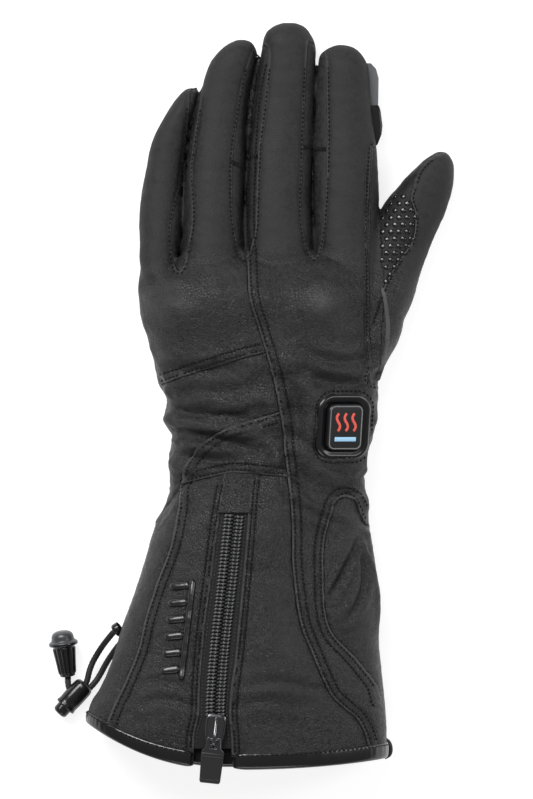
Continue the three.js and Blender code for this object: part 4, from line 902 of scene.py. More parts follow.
def leather_height(x, y):
    """Height of the finished leather at plan points, from the map of its top points, between cell centres."""
    u = np.clip((np.asarray(x) - MAP_LOW[0]) / CELL - 0.5, 0, cells_wide - 1.001)
    v = np.clip((np.asarray(y) - MAP_LOW[1]) / CELL - 0.5, 0, cells_long - 1.001)
    i, j = u.astype(int), v.astype(int)
    p, q = u - i, v - j
    low_side = height_map[i, j] * (1 - q) + height_map[i, j + 1] * q
    high_side = height_map[i + 1, j] * (1 - q) + height_map[i + 1, j + 1] * q
    return low_side * (1 - p) + high_side * p


def on_top(p):
    """True for plan points that have leather facing up all round them."""
    i = np.clip(((p[:, 0] - MAP_LOW[0]) / CELL).astype(int), 0, cells_wide - 1)
    j = np.clip(((p[:, 1] - MAP_LOW[1]) / CELL).astype(int), 0, cells_long - 1)
    return covered[i, j]


def leather_normal(x, y, step=1.2):
    """Unit normal of the finished leather at plan points, from its slopes over a short step."""
    dx = (leather_height(x + step, y) - leather_height(x - step, y)) / (2 * step)
    dy = (leather_height(x, y + step) - leather_height(x, y - step)) / (2 * step)
    n = np.stack([-dx, -dy, np.ones_like(dx)], -1)
    return n / np.linalg.norm(n, axis=-1, keepdims=True)


def ball(long, wide, high, rings=5, sides=8):
    """A small rounded lozenge about the origin, long in x: with s = (sin a)^0.6, x = long cos a,
    y = wide s cos b, z = high s sin b."""
    a = np.linspace(0, np.pi, rings + 2)[:, None]
    b = np.linspace(0, 2 * np.pi, sides, endpoint=False)[None]
    body = np.sin(a) ** 0.6
    points = np.stack([long * np.cos(a) + 0 * b, wide * body * np.cos(b), high * body * np.sin(b)], -1)
    return points.reshape(-1, 3), grid_faces(rings + 2, sides, True)


def scattered(template, faces, places, first, second, third):
    """Copies of a template at places, its x, y and z laid along three vectors at each place, in one mesh."""
    points = (
        places[:, None] + template[None, :, :1] * first[:, None] + template[None, :, 1:2] * second[:, None]
        + template[None, :, 2:] * third[:, None]
    )
    shift = np.arange(len(places))[:, None, None] * len(template)
    return points.reshape(-1, 3), (faces[None] + shift).reshape(-1, faces.shape[1])


def side_line(line, distance):
    """A plan line moved sideways, to its left where distance is positive."""
    way = np.gradient(line, axis=0)
    way /= np.maximum(np.linalg.norm(way, axis=1, keepdims=True), 1e-9)
    return line + distance * np.stack([-way[:, 1], way[:, 0]], 1)


def stitch_row(line, pitch, keep):
    """Places and directions of stitches every pitch along a plan line, where the test keep is true."""
    even = smooth_line(line, 0.5)
    run = np.concatenate([[0], np.cumsum(np.linalg.norm(np.diff(even, axis=0), axis=1))])
    at = np.arange(pitch / 2, run[-1], pitch)
    spots = np.stack([np.interp(at, run, even[:, i]) for i in range(2)], 1)
    ahead = np.stack([np.interp(at + 0.3, run, even[:, i]) for i in range(2)], 1)
    back = np.stack([np.interp(at - 0.3, run, even[:, i]) for i in range(2)], 1)
    chosen = keep(spots)
    return spots[chosen], (ahead - back)[chosen]


def sew(name, template, faces, spots, ways):
    """Stitches of black thread: a template at each plan point, turned its way and laid on the leather."""
    normal = leather_normal(spots[:, 0], spots[:, 1])
    first = np.column_stack([ways, np.zeros(len(ways))])
    first -= (first * normal).sum(1, keepdims=True) * normal
    first /= np.linalg.norm(first, axis=1, keepdims=True)
    base = np.column_stack([spots, leather_height(spots[:, 0], spots[:, 1])]) + 0.2 * normal
    points, faces = scattered(template, faces, base, first, np.cross(normal, first), normal)
    make(name, points, faces, thread_material)


def west_of_centre(p):
    return beside(seam_lines["central"], p)[0] < -0.8


def both(*tests):
    return lambda p: np.logical_and.reduce([t(p) for t in tests])


def out_of_button(p):
    away = np.column_stack([p, leather_height(p[:, 0], p[:, 1])]) - BEZEL_PLACE
    return round_box(away @ BEZEL_SIDE, away @ BEZEL_UP, *BEZEL_HALVES) > 0.3


def on_glove(p):
    return at_of(p[:, 0], p[:, 1]) > HEM_BAND + 0.25


# Row: seam, sideways distances of its rows, pitch, which stitches are kept
ROWS = [
    ("central", (1.25, 4.1), 1.85, lambda p: on_glove(p) & (p[:, 1] < 152)),
    ("knuckle", (-1.25, -4.1), 1.85, both(west_of_centre, lambda p: p[:, 0] > -50)),
    ("arc", (1.25, 4.1), 1.85, both(west_of_centre, lambda p: (p[:, 0] > -37) & (p[:, 1] > -38))),
    ("cross", (-1.25, -4.1), 1.85, both(west_of_centre, lambda p: p[:, 0] > -37)),
    ("cuff_side", (1.2, 3.9), 1.85, on_glove),
    ("zip_little", (-1.3, -3.3), 1.75, lambda p: on_glove(p) & (p[:, 1] < along(38.0))),
    ("zip_index", (1.3, 3.3), 1.75, lambda p: on_glove(p) & (p[:, 1] < along(38.4))),
    ("pocket", (-1.25, -4.0), 1.85, lambda p: on_glove(p) & (p[:, 0] < 50.5)),
    ("index_side", (-1.0,), 1.9, lambda p: p[:, 0] < 53),
    ("little_ring", (-0.9,), 2.0, lambda p: p[:, 1] < 132),
    ("ring_middle", (-0.9,), 2.0, lambda p: p[:, 1] < 150),
    ("middle_index", (-0.9,), 2.0, lambda p: p[:, 1] < 150),
    ("thumb", (1.0,), 1.9, lambda p: (p[:, 0] > 50) & (p[:, 1] < 108)),
]
thread_material = plain_material("black_thread", (0.0015, 0.0015, 0.0018), 0.55, 0.2)
template, faces = ball(0.72, 0.42, 0.34)
spots, ways = [], []
for name, rows, pitch, keep in ROWS:
    for away in rows:
        wanted = both(keep, out_of_button) if name != "thumb" else keep
        p, w = stitch_row(side_line(seam_lines[name], away), pitch, wanted)
        real = (np.abs(beside(seam_lines[name], p)[0]) > abs(away) - 0.45) & on_top(p)
        spots.append(p[real])
        ways.append(w[real])
sew("seam_stitches", template, faces, np.vstack(spots), np.vstack(ways))

# Fourchette webs.
# Between two fingers the leather of their side strips bulges until it touches, which closes the gap. Each web
# is a flat closed tube along it: x = middle + half cos b, z = height - 1.2 sin^2 b + 1.4 sin b.
WEBS = (("little", "ring", 89.6), ("ring", "middle", 95.6), ("middle", "index", 94.4))
for low_name, high_name, until in WEBS:
    at = np.linspace(64, until, 90)[:, None]
    turn = np.linspace(0, 2 * np.pi, 28, endpoint=False)[None]
    left = column(FINGERS[low_name][3], 2, at) / 100 * WIDTH
    right = column(FINGERS[high_name][3], 1, at) / 100 * WIDTH
    middle_height = np.minimum(finger_levels(low_name, at)[0], finger_levels(high_name, at)[0])
    closing = np.sqrt(np.clip((until - at) / 1.2, 0.0, 1.0))
    half = (np.maximum(right - left, 0) / 2 + 1.7) * np.maximum(closing, 0.02)
    across_web = np.cos(turn)
    x = (left + right) / 2 + half * across_web
    z = middle_height - 1.2 * (1 - across_web**2) + 1.4 * np.sin(turn) * closing
    y = along(at) + 0.4 * np.sin(at * 3.1) * (1 - across_web**2)
    skin = np.stack([x, y, z], -1)
    # The webs are drawn in the near-black grip leather, which paints shade into the crease between the
    # fingers.
    web = make_grid(f"fourchette_web_{low_name}_{high_name}", with_ends(skin), grip_material)

# Hem binding.
# A 7 mm strip of glossy leather turned round the raw edge of the cuff, open where the zip runs out of it.
# Its section is swept round the cuff's oval: out over the edge, round it and up inside, with small puckers.
gloss_material = plain_material("gloss_leather", (0.004, 0.004, 0.0045), 0.24, 0.6)
BINDING_SECTION = smooth_line([
    [7.0, 0.5], [6.9, -0.35], [6.2, -0.85], [4.6, -1.05], [2.6, -1.1], [0.9, -0.95], [-0.15, -0.35],
    [-0.55, 0.7], [-0.5, 2.0], [0.1, 3.1], [1.5, 3.6], [4.0, 3.7], [7.0, 3.6],
], 0.45)
fine_angle = np.linspace(0, 2 * np.pi, 4001)
hem_x = body_skin(np.full(4001, 0.6), fine_angle, 0.0)[:, 0]
upper = fine_angle < np.pi
zip_right = fine_angle[upper][np.abs(hem_x[upper] - (seam_lines["zip_index"][-12, 0] + 0.2)).argmin()]
zip_left = fine_angle[upper][np.abs(hem_x[upper] - (seam_lines["zip_little"][-12, 0] - 0.2)).argmin()]
sweep_angle = np.linspace(zip_left, zip_right + 2 * np.pi, 620)
end_gap = np.minimum(np.arange(620), 619 - np.arange(620)) / 7.0
closing = np.sqrt(1 - (1 - np.clip(end_gap, 0, 1)) ** 2)[:, None]
up_from_hem = BINDING_SECTION[None, :, 0] * (0.55 + 0.45 * closing) + 1.2 * (1 - closing)
inset = 1.3 + (BINDING_SECTION[None, :, 1] - 1.3) * np.maximum(closing, 0.03)
pucker = 0.045 * np.sin(sweep_angle * 71 + 2.1 * np.sin(sweep_angle * 9))[:, None]
pucker = pucker * np.clip((BINDING_SECTION[None, :, 0] - 0.5) / 3, 0, 1) * (BINDING_SECTION[None, :, 1] < 0.3)
skin = body_skin(up_from_hem / LENGTH * 100, sweep_angle[:, None] % (2 * np.pi), inset + pucker)
skin[..., 2] = np.maximum(skin[..., 2], 0.0)
binding = make_grid("hem_binding_leather", skin, gloss_material, wrap=False, flip=True)
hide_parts("hem_binding")
row_angle = np.linspace(zip_left, zip_right + 2 * np.pi, 900) % (2 * np.pi)
hem_row = body_skin(np.full(900, 5.9 / LENGTH * 100), row_angle, -0.98)
hem_row = hem_row[hem_row[:, 2] > 9]
gap = np.linalg.norm(np.diff(hem_row, axis=0), axis=1)
run = np.concatenate([[0], np.cumsum(np.where(gap > 8, 0, gap))])
at = np.arange(1.2, run[-1], 2.2)
base = np.stack([np.interp(at, run, hem_row[:, i]) for i in range(3)], 1)
first = np.stack([np.interp(at + 0.4, run, hem_row[:, i]) for i in range(3)], 1) - base
first /= np.maximum(np.linalg.norm(first, axis=1, keepdims=True), 1e-9)
out_of = base - np.array([-0.11 * WIDTH, 0, 20.0])
out_of[:, 1] = 0
out_of = out_of * np.array([0.35, 0, 1.0])
out_of /= np.linalg.norm(out_of, axis=1, keepdims=True)
second = np.cross(out_of, first)
template, faces = ball(0.75, 0.3, 0.28)
points, faces = scattered(template, faces, base, first, second, out_of)
make("hem_stitches", points, faces, thread_material)

# Lining.
# Black brushed fleece behind the padding, which shows in the cuff's mouth.
lining_material = plain_material("fleece_lining", (0.01, 0.01, 0.011), 0.95, 0.1)
lining_angle = np.linspace(0, 2 * np.pi, 96, endpoint=False)[None]
skin = body_skin(np.linspace(0.6, 60, 120)[:, None], lining_angle, 3.3)
tail = np.repeat(skin[-1:].mean(axis=1, keepdims=True), 96, 1)
skin = np.concatenate([skin, tail])
make_grid("lining", skin, lining_material, flip=True)

# Zip.
# A leather patch over its top end, a woven tape sewn in along both edges, and two coils with their chain
# stitching.
woven_material = plain_material("woven_tape", (0.009, 0.009, 0.010), 0.75, 0.3)
coil_material = plain_material("coil_nylon", (0.017, 0.017, 0.018), 0.36, 0.5)
chain_material = plain_material("chain_thread", (0.13, 0.13, 0.135), 0.5, 0.5)
# The tape's stitches are real black thread, drawn paler as a painted glint.
tape_thread_material = plain_material("tape_thread", (0.02, 0.02, 0.021), 0.4, 0.5)
PATCH_END_Y = along(34.0)


def zip_side(line, y):
    order = np.argsort(line[:, 1])
    return np.interp(y, line[order, 1], line[order, 0])


def back_height(x, y):
    """Height of the unpuffed back, on the loft's oval: widest + (top - widest) (1 - |share|^p)^(1/p)."""
    at = at_of(x, y)
    left, right = column(BODY, 1, at) / 100 * WIDTH, column(BODY, 2, at) / 100 * WIDTH
    top, _, widest = body_levels(at)
    share = np.clip(np.abs(x - (left + right) / 2) / ((right - left) / 2), 0, 1)
    rise = (1 - share**2.3) ** (1 / 2.3)
    return widest + (top - widest) * rise + relief(x, at) * ease(rise * 1.5)


def zip_strip(y_from, y_to, depth, rows, columns, spread=1.2):
    """A strip between the zip's two edges: x = little + (index - little) u, z = back + depth(u, y)."""
    y = np.linspace(y_from, y_to, rows)[:, None]
    u = np.linspace(0, 1, columns)[None]
    little, index = zip_side(seam_lines["zip_little"], y), zip_side(seam_lines["zip_index"], y)
    x = little - spread + u * (index - little + 2 * spread)
    y = y + 0 * u
    return np.stack([x, y, back_height(x, y) + depth(u, y)], -1)


def patch_depth(u, y):
    """The patch bulges across, thickens at its folded end and drops to the tape there."""
    past = y - PATCH_END_Y
    fold = 0.5 * np.exp(-((past - 1.2) / 0.9) ** 2) - 0.9 * np.exp(-(past / 0.35) ** 2)
    return 0.25 + fold + 0.25 * np.sin(np.pi * u)


patch_skin = zip_strip(along(40.2), PATCH_END_Y, patch_depth, 60, 30)
patch = make_grid("zip_patch_leather", patch_skin, leather_material, wrap=False, flip=True)
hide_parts("zip_top_patch")
hem_y = along(2.7)
tape_skin = zip_strip(PATCH_END_Y + 1.5, hem_y, lambda u, y: -0.75 + 0 * u, 200, 34, 2.0)
weave = 0.06 * np.sin(tape_skin[..., 1] * 2 * np.pi / 1.4 + np.pi * (np.arange(34) % 2)[None])
tape_skin[..., 2] += weave
tape = make_grid("zip_tape_cloth", tape_skin, woven_material, wrap=False, flip=True)
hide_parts("zip_tape")

zip_middle = smooth_line(place([
    [-9.6, 38.4], [-10.6, 36.4], [-12.5, 31], [-14.5, 24.8], [-17.3, 16.8], [-18.8, 11.2], [-19.3, 7.3],
    [-19.3, -2],
]), 0.5)
TOOTH_PITCH = 1.62
for side_name, way_out, node in (("little", -1, "zip_coil_little"), ("index", 1, "zip_coil_index")):
    spots, ways = stitch_row(zip_middle, TOOTH_PITCH,
                             lambda p: (p[:, 1] < PATCH_END_Y - 0.4) & (p[:, 1] > along(7.2)))
    ways /= np.linalg.norm(ways, axis=1, keepdims=True)
    outward = way_out * np.stack([-ways[:, 1], ways[:, 0]], 1)
    spots = spots + ways * (TOOTH_PITCH / 2 if way_out > 0 else 0)
    template, faces = ball(2.35, 0.62, 0.72, 9, 8)
    template[:, 0] += 2.35
    template[:, 2] += 0.35 * np.exp(-((template[:, 0] - 0.5) / 0.7) ** 2)
    template[:, 1] += 0.16 * template[:, 0]
    base = np.column_stack([spots, back_height(spots[:, 0], spots[:, 1]) + 0.05])
    first = np.column_stack([outward, np.zeros(len(spots))])
    third = np.tile([0.0, 0.0, 1.0], (len(spots), 1))
    second = np.cross(third, first)
    points, faces = scattered(template, faces, base, first, second, third)
    coil = make("coil_" + side_name, points, faces, coil_material)
    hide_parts(node)
    for row in (1.75, 3.65):
        template, faces = ball(0.72, 0.32, 0.3, 4, 6)
        thread_base = base + first * row + np.array([0, 0, 0.78]) + 0.4 * second
        lean = first * 0.55 * (1 if row > 2 else -1) + second
        lean /= np.linalg.norm(lean, axis=1, keepdims=True)
        points, faces = scattered(template, faces, thread_base, lean, np.cross(third, lean), third)
        make(f"coil_thread_{side_name}_{int(row)}", points, faces, chain_material)
    edge = side_line(seam_lines["zip_" + side_name], 1.25 * -way_out)
    spots, ways = stitch_row(edge, 1.7, lambda p: (p[:, 1] < PATCH_END_Y + 14) & (p[:, 1] > along(3.2)))
    ways = np.column_stack([ways / np.linalg.norm(ways, axis=1, keepdims=True), np.zeros(len(ways))])
    lower = np.where(spots[:, 1] > PATCH_END_Y, 0.45, -0.55)
    base = np.column_stack([spots, back_height(spots[:, 0], spots[:, 1]) + lower])
    template, faces = ball(0.62, 0.3, 0.3)
    points, faces = scattered(template, faces, base, ways, np.cross([0.0, 0.0, 1.0], ways),
                              np.tile([0.0, 0.0, 1.0], (len(base), 1)))
    make("tape_stitches_" + side_name, points, faces, tape_thread_material)


def plate(name, outline, low, high, bevel, material, body, frame_of=None):
    """A flat plate: its plan outline at two heights, closed by flat faces, with its edges rounded."""
    outline = np.asarray(outline, float)
    n = len(outline)
    points = np.vstack([np.column_stack([outline, np.full(n, level)]) for level in (low, high)])
    if frame_of is not None:
        origin, a, b, c = frame_of
        points = origin + points[:, :1] * a + points[:, 1:2] * b + points[:, 2:] * c
    i = np.arange(n)
    j = (i + 1) % n
    walls = np.stack([i, j, j + n, i + n], 1).tolist()
    mesh = bpy.data.meshes.new(name)
    mesh.from_pydata((points * MM).tolist(), [], [list(range(n))[::-1], list(range(n, 2 * n))] + walls)
    mesh.materials.append(material)
    made = bpy.data.objects.new(name, mesh)
    scene.collection.objects.link(made)
    rounding = made.modifiers.new("rounding", "BEVEL")
    rounding.width = bevel * MM
    rounding.segments = 3
    rounding.limit_method = "ANGLE"
    rounding.angle_limit = math.radians(50)
    rounding.harden_normals = False
    mesh.polygons.foreach_set("use_smooth", np.full(len(mesh.polygons), True))
    mesh.set_sharp_from_angle(angle=math.radians(60))
    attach(made, body)
    return made


def round_outline(wide, long, corner, count=9):
    """A rectangle with rounded corners, anticlockwise."""
    turn = np.linspace(0, np.pi / 2, count)
    parts = []
    for k, (sx, sy) in enumerate(((1, 1), (-1, 1), (-1, -1), (1, -1))):
        a = turn + k * np.pi / 2
        x = sx * (wide / 2 - corner) + corner * np.cos(a)
        y = sy * (long / 2 - corner) + corner * np.sin(a)
        parts.append(np.stack([x, y], 1))
    return np.vstack(parts)


# Heat control.
# A push button in a moulded surround set into the leather: a black cap with a thin grey border and a plain
# mark of three coral heat waves over a light-blue bar, and a ring of stitches round it all.
surround_material = plain_material("surround_plastic", (0.006, 0.006, 0.007), 0.22, 0.5)
cap_material = plain_material("cap_plastic", (0.008, 0.008, 0.009), 0.34, 0.5)
grey_material = plain_material("cap_border", (0.16, 0.165, 0.17), 0.4, 0.5)
coral_material = plain_material("heat_mark_coral", (0.72, 0.10, 0.07), 0.45, 0.4)
blue_material = plain_material("heat_mark_blue", (0.33, 0.58, 0.80), 0.45, 0.4)
BUTTON_FRAME = (BEZEL_PLACE, BEZEL_SIDE, BEZEL_UP, BEZEL_NORMAL)
BUTTON_WIDE, BUTTON_LONG, BUTTON_CORNER = 17.2, 20.8, 3.2


def in_button(points):
    """Points given across, up and out from the cap's foot, as places on the glove."""
    points = np.asarray(points, float)
    flat = BEZEL_PLACE + points[..., :1] * BEZEL_SIDE + points[..., 1:2] * BEZEL_UP
    return flat + points[..., 2:] * BEZEL_NORMAL


def swept_round(section, count=12):
    """A section of [outward, height] swept round the cap's outline."""
    loop = round_outline(BUTTON_WIDE, BUTTON_LONG, BUTTON_CORNER, count)
    turn = np.concatenate([np.linspace(0, np.pi / 2, count) + k * np.pi / 2 for k in range(4)])
    out = np.stack([np.cos(turn), np.sin(turn)], 1)
    flat = loop[None] + section[:, None, :1] * out[None]
    return np.concatenate([flat, np.broadcast_to(section[:, None, 1:], flat.shape[:2] + (1,))], -1)


surround_section = smooth_line([
    [4.7, -0.6], [4.6, 0.7], [4.2, 1.35], [3.5, 1.75], [2.6, 1.8], [1.6, 1.45], [0.8, 1.15], [0.35, 0.8],
    [0.28, 0.2], [0.28, -1.6],
], 0.22)
skin = in_button(swept_round(surround_section))
surround = make_grid("button_surround", skin, surround_material)
floor_skin = swept_round(np.array([[0.6, -0.9], [-3.0, -0.9], [-8.0, -0.9]]))
floor_skin[-1, :, :2] = 0
make_grid("button_well", in_button(floor_skin), surround_material)
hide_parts("button_bezel")
cap_section = smooth_line([[0, 0.0], [0, 2.3], [-0.12, 2.85], [-0.5, 3.25], [-1.2, 3.42], [-2.4, 3.48]], 0.2)
ring = swept_round(cap_section)
shrink = np.linspace(1, 0, 9)[1:, None, None]
dome = ring[-1:] * shrink
dome[..., 2] = 3.48 + 0.10 * (1 - shrink[..., 0] ** 2)
under = ring[:1] * np.array([0.0, 0.0, 1.0])
skin = in_button(np.concatenate([under, ring, dome]))
cap = make_grid("button_cap_dressed", skin, cap_material, "button_cap")
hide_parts("button_cap")


def mark(name, line, half_wide, material):
    """A thin raised stripe on the cap, along a line given across and up from the cap's middle."""
    line = smooth_line(line, 0.25)
    flat = np.column_stack([line, np.zeros(len(line))])
    points, faces = tube(flat, half_wide, 10)
    points[:, 2] = points[:, 2] * 0.12 / half_wide + 3.56
    return make(name, in_button(points), faces, material, "button_cap")


wave = np.linspace(0, 1, 17)
for k, along_ in enumerate((-3.9, 0.0, 3.9)):
    line = np.stack([along_ + 0.9 * np.sin(wave * 2 * np.pi), -1.6 + 8.0 * wave], 1)
    mark(f"heat_wave_{k + 1}", line, 0.62, coral_material)
mark("heat_bar", [[-5.3, -5.3], [-2, -5.3], [2, -5.3], [5.3, -5.3]], 1.0, blue_material)
turn = np.linspace(0, 2 * np.pi, 9)
border = in_button(swept_round(np.stack([-0.85 - 0.24 * np.cos(turn), 3.42 + 0.14 * np.sin(turn)], 1)))
make_grid("cap_border", border, grey_material, "button_cap")
ring_line = round_outline(BUTTON_WIDE + 11.4, BUTTON_LONG + 11.4, BUTTON_CORNER + 5, 14)
ring_line = in_button(np.column_stack([ring_line, np.full(len(ring_line), 1.0)]))[:, :2]
spots, ways = stitch_row(np.vstack([ring_line, ring_line[:1]]), 2.0, on_top)
sew("button_stitches", *ball(0.72, 0.4, 0.34), spots, ways)

# Zip slider and pull.
# A cast slider in dark chrome with a bridge over it. The pull is a fork and a flat matt tab on the bridge's
# pin, and it turns on that pin.
chrome_material = plain_material("dark_chrome", (0.13, 0.13, 0.135), 0.18, 0.5, 1.0)
tab_material = plain_material("matt_pull", (0.012, 0.012, 0.013), 0.42, 0.5)
SLIDER_TURN = math.radians(-6)
slider_at = np.array([-21.037, -148.07, 50.015])
slider_x = np.array([math.cos(SLIDER_TURN), math.sin(SLIDER_TURN), 0])
slider_y = np.array([-math.sin(SLIDER_TURN), math.cos(SLIDER_TURN), 0])
slider_z = np.array([0, 0, 1.0])
slider_frame = (slider_at, slider_x, slider_y, slider_z)
slider_plan = smooth_line([
    [-2.9, -7.4], [0, -7.5], [2.9, -7.4], [4.3, -3.0], [4.7, 0.5], [4.7, 4.6], [3.9, 7.0], [2.0, 7.5],
    [-2.0, 7.5], [-3.9, 7.0], [-4.7, 4.6], [-4.7, 0.5], [-4.3, -3.0], [-2.9, -7.4],
], 0.8)[:-1]
slider_body = plate("slider_body", slider_plan, 0.0, 2.8, 0.7, chrome_material, "glove",
                    slider_frame)
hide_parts("zip_slider")
rim_line = np.column_stack([slider_plan * 0.86, np.full(len(slider_plan), 2.75)])
rim_line = slider_at + rim_line @ np.array([slider_x, slider_y, slider_z])
points, faces = tube(np.vstack([rim_line, rim_line[:2]]), 0.42, 10, False)
make("slider_rim", points, faces, chrome_material)
bridge = smooth_line([
    [0, -6.6, 2.3], [0, -6.5, 4.6], [0, -5.6, 6.0], [0, -3.8, 6.35], [0, -1.2, 6.0], [0, 3.0, 4.3],
    [0, 6.2, 2.6],
], 0.25)
bridge = slider_at + bridge @ np.array([slider_x, slider_y, slider_z])
points, faces = tube(bridge, 0.85, 14)
make("slider_bridge", points, faces, chrome_material)
PULL_TILT = math.radians(5)
hinge = slider_at - 3.8 * slider_y + 4.2 * slider_z
pull_y = slider_y * math.cos(PULL_TILT) + slider_z * math.sin(PULL_TILT)
pull_z = slider_z * math.cos(PULL_TILT) - slider_y * math.sin(PULL_TILT)
pull_frame = (hinge, slider_x, pull_y, pull_z)
fork = [[-3.1, 0.8], [-1.4, 0.8], [-1.4, -4.1], [1.4, -4.1], [1.4, 0.8], [3.1, 0.8], [3.6, -4.0],
        [5.0, -5.4], [5.05, -7.2], [-5.05, -7.2], [-5.0, -5.4], [-3.6, -4.0]]
pull_fork = plate("pull_fork", fork[::-1], -0.8, 0.8, 0.4, chrome_material, "zip_pull",
                  pull_frame)
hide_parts("zip_pull")
tab_plan = [[5.1, -6.2], [5.1, -7.0], [4.7, -18.9], [4.2, -19.9], [-4.2, -19.9], [-4.7, -18.9], [-5.1, -7.0],
            [-5.1, -6.2]]
plate("pull_tab", tab_plan[::-1], -0.95, 0.98, 0.45, tab_material, "zip_pull", pull_frame)
for k, back in enumerate((-8.0, -18.3)):
    half = 4.7 if k == 0 else 4.4
    ridge = np.array([[-half, back, 0.95], [0, back, 0.95], [half, back, 0.95]])
    ridge = hinge + smooth_line(ridge, 0.5) @ np.array([slider_x, pull_y, pull_z])
    points, faces = tube(ridge, 0.3, 8)
    make(f"pull_ridge_{k + 1}", points, faces, tab_material, "zip_pull")
pin = hinge + np.linspace(-1.9, 1.9, 9)[:, None] * slider_x
points, faces = tube(pin, 0.8, 16)
make("pull_pin", points, faces, chrome_material, "zip_pull")

# Raised comb on the outer cuff panel.
# Six short bars that lean on one long bar, pressed up out of the leather from behind and polished.
emboss_material = plain_material("embossed_gloss", (0.008, 0.008, 0.009), 0.27, 0.6)


def welt(name, line, half_wide, high, material, sink=0.15):
    """A rounded bar laid along a plan line on the leather, half_wide to each side and high over it."""
    line = smooth_line(line, 0.5)
    way = np.gradient(line, axis=0)
    way /= np.maximum(np.linalg.norm(way, axis=1, keepdims=True), 1e-9)
    across_ = np.stack([-way[:, 1], way[:, 0]], 1)
    angle = np.linspace(0, 2 * np.pi, 12, endpoint=False)[None]
    run = np.arange(len(line))
    close = np.sqrt(np.clip(np.minimum(run, run[::-1]) * 0.5 / max(half_wide, 0.3), 0.02, 1))[:, None]
    flat = np.sign(np.cos(angle)) * np.abs(np.cos(angle)) ** 0.7 * half_wide * close
    x = line[:, :1] + across_[:, :1] * flat
    y = line[:, 1:] + across_[:, 1:] * flat
    z = leather_height(x, y) - sink + high * np.sin(angle) * close
    return make_grid(name, with_ends(np.stack([x, y, z], -1)), material)


spine_line = place([[-28.5, 25.4], [-30.2, 20.5], [-31.9, 15.8], [-33.4, 11.8]])
comb_spine = welt("comb_spine", spine_line, 1.5, 1.7, emboss_material, sink=-0.1)
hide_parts("raised_comb")
for k in range(6):
    at = 13.1 + (24.3 - 13.1) * k / 5
    outer = -42.4 + 4.2 * (at - 12) / 13
    inner = -34.5 + 4.7 * (at - 12) / 13 + 1
    bar = place([[outer, at], [(outer + inner) / 2, at + 0.15], [inner, at + 0.3]])
    welt(f"comb_bar_{k + 1}", bar, 1.85, 1.5, emboss_material, sink=-0.05)

# Visor wiper on the index finger.
# A grey silicone blade let into a glossy black foot, on the outer side of the finger. Both are flat plates
# with rounded edges.
silicone_material = plain_material("wiper_silicone", (0.075, 0.08, 0.085), 0.42, 0.5)
foot_material = plain_material("wiper_foot", (0.002, 0.002, 0.0025), 0.3, 0.3)
BLADE = place([[40.5, 88.7], [48.0, 88.7], [48.2, 92.6], [47.2, 93.8], [45.0, 94.6], [41.5, 94.6]])
FOOT = place([[44, 83.3], [47.6, 83.5], [49.4, 85.0], [49.8, 86.2], [49.0, 88.2], [48.2, 89.0], [42, 89.0]])
blade = plate("wiper_blade_soft", BLADE, 11.7, 14.3, 0.7, silicone_material, "glove")
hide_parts("wiper_blade")
foot = plate("wiper_foot_moulded", FOOT, 11.4, 14.6, 0.9, foot_material, "glove")
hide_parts("wiper_foot")

# Grip, piping and bar tacks.
# Round silicone dots on the thumb's grip patch, piped ridges down the index side, a grey strip at the thumb's
# root and short bar tacks where the strips between the fingers are caught.
dot_material = plain_material("silicone_dots", (0.005, 0.005, 0.006), 0.16, 0.55)
PATCH = np.array([[53.1, 86.5], [58, 91.5], [66.2, 92.0], [70.3, 84], [68.4, 72.1], [62.2, 61.5],
                  [55.4, 50.8], [53.6, 60]])
row, spot = np.meshgrid(np.arange(16), np.arange(9), indexing="ij")
dots = np.stack([50.5 + 3.7 * (spot + 0.5 * (row % 2)), 50 + 3.2 * row], -1).reshape(-1, 2)
dots = dots[inside(PATCH, dots)]
normal = leather_normal(dots[:, 0], dots[:, 1])
base = np.column_stack([dots, leather_height(dots[:, 0], dots[:, 1])])
first = np.cross(normal, [0.0, 1.0, 0.0])
first /= np.linalg.norm(first, axis=1, keepdims=True)
template, faces = ball(1.3, 1.3, 1.3, 7, 14)
template = template[:, [2, 1, 0]] * np.array([1, 1, 0.42])
points, faces = scattered(template, faces, base, first, np.cross(normal, first), normal)
make("grip_dots", points, faces, dot_material)
OUTER_PIPING = [[49.6, 113.9], [48.9, 100], [48.4, 80], [48.1, 60], [48.0, 29.8], [50.0, 12]]
INNER_PIPING = [[46.9, 113], [46.6, 95], [46.2, 75], [46.4, 55], [46.6, 30], [48.2, 14]]
THUMB_STRIP = [[54.2, 50.5], [56.0, 40], [56.6, 30], [54.8, 18], [51.9, 8.5]]
strip_material = plain_material("grey_gusset", (0.05, 0.051, 0.054), 0.6, 0.4)
welt("piping_outer", OUTER_PIPING, 0.42, 0.5, leather_material)
welt("piping_inner", INNER_PIPING, 0.42, 0.5, leather_material)
welt("thumb_root_strip", THUMB_STRIP, 1.0, 0.45, strip_material)
TACKS = [
    ([-14.4, 107.2], [-7.4, 104.2]), ([-6.6, 109.4], [-2.0, 109.4]), ([18.7, 113.6], [22.3, 113.6]),
    ([23.6, 112.8], [28.6, 112.8]), ([-36.5, 96], [-36.5, 92]), ([-34.2, 107], [-33.6, 104.5]),
]
spots, ways = [], []
for a, b in TACKS:
    count = max(int(np.hypot(b[0] - a[0], b[1] - a[1]) / 0.55), 3)
    spots.append(np.linspace(a, b, count))
    ways.append(np.tile([-(b[1] - a[1]), b[0] - a[0]], (count, 1)))
sew("bar_tacks", *ball(1.1, 0.28, 0.3), np.vstack(spots), np.vstack(ways))

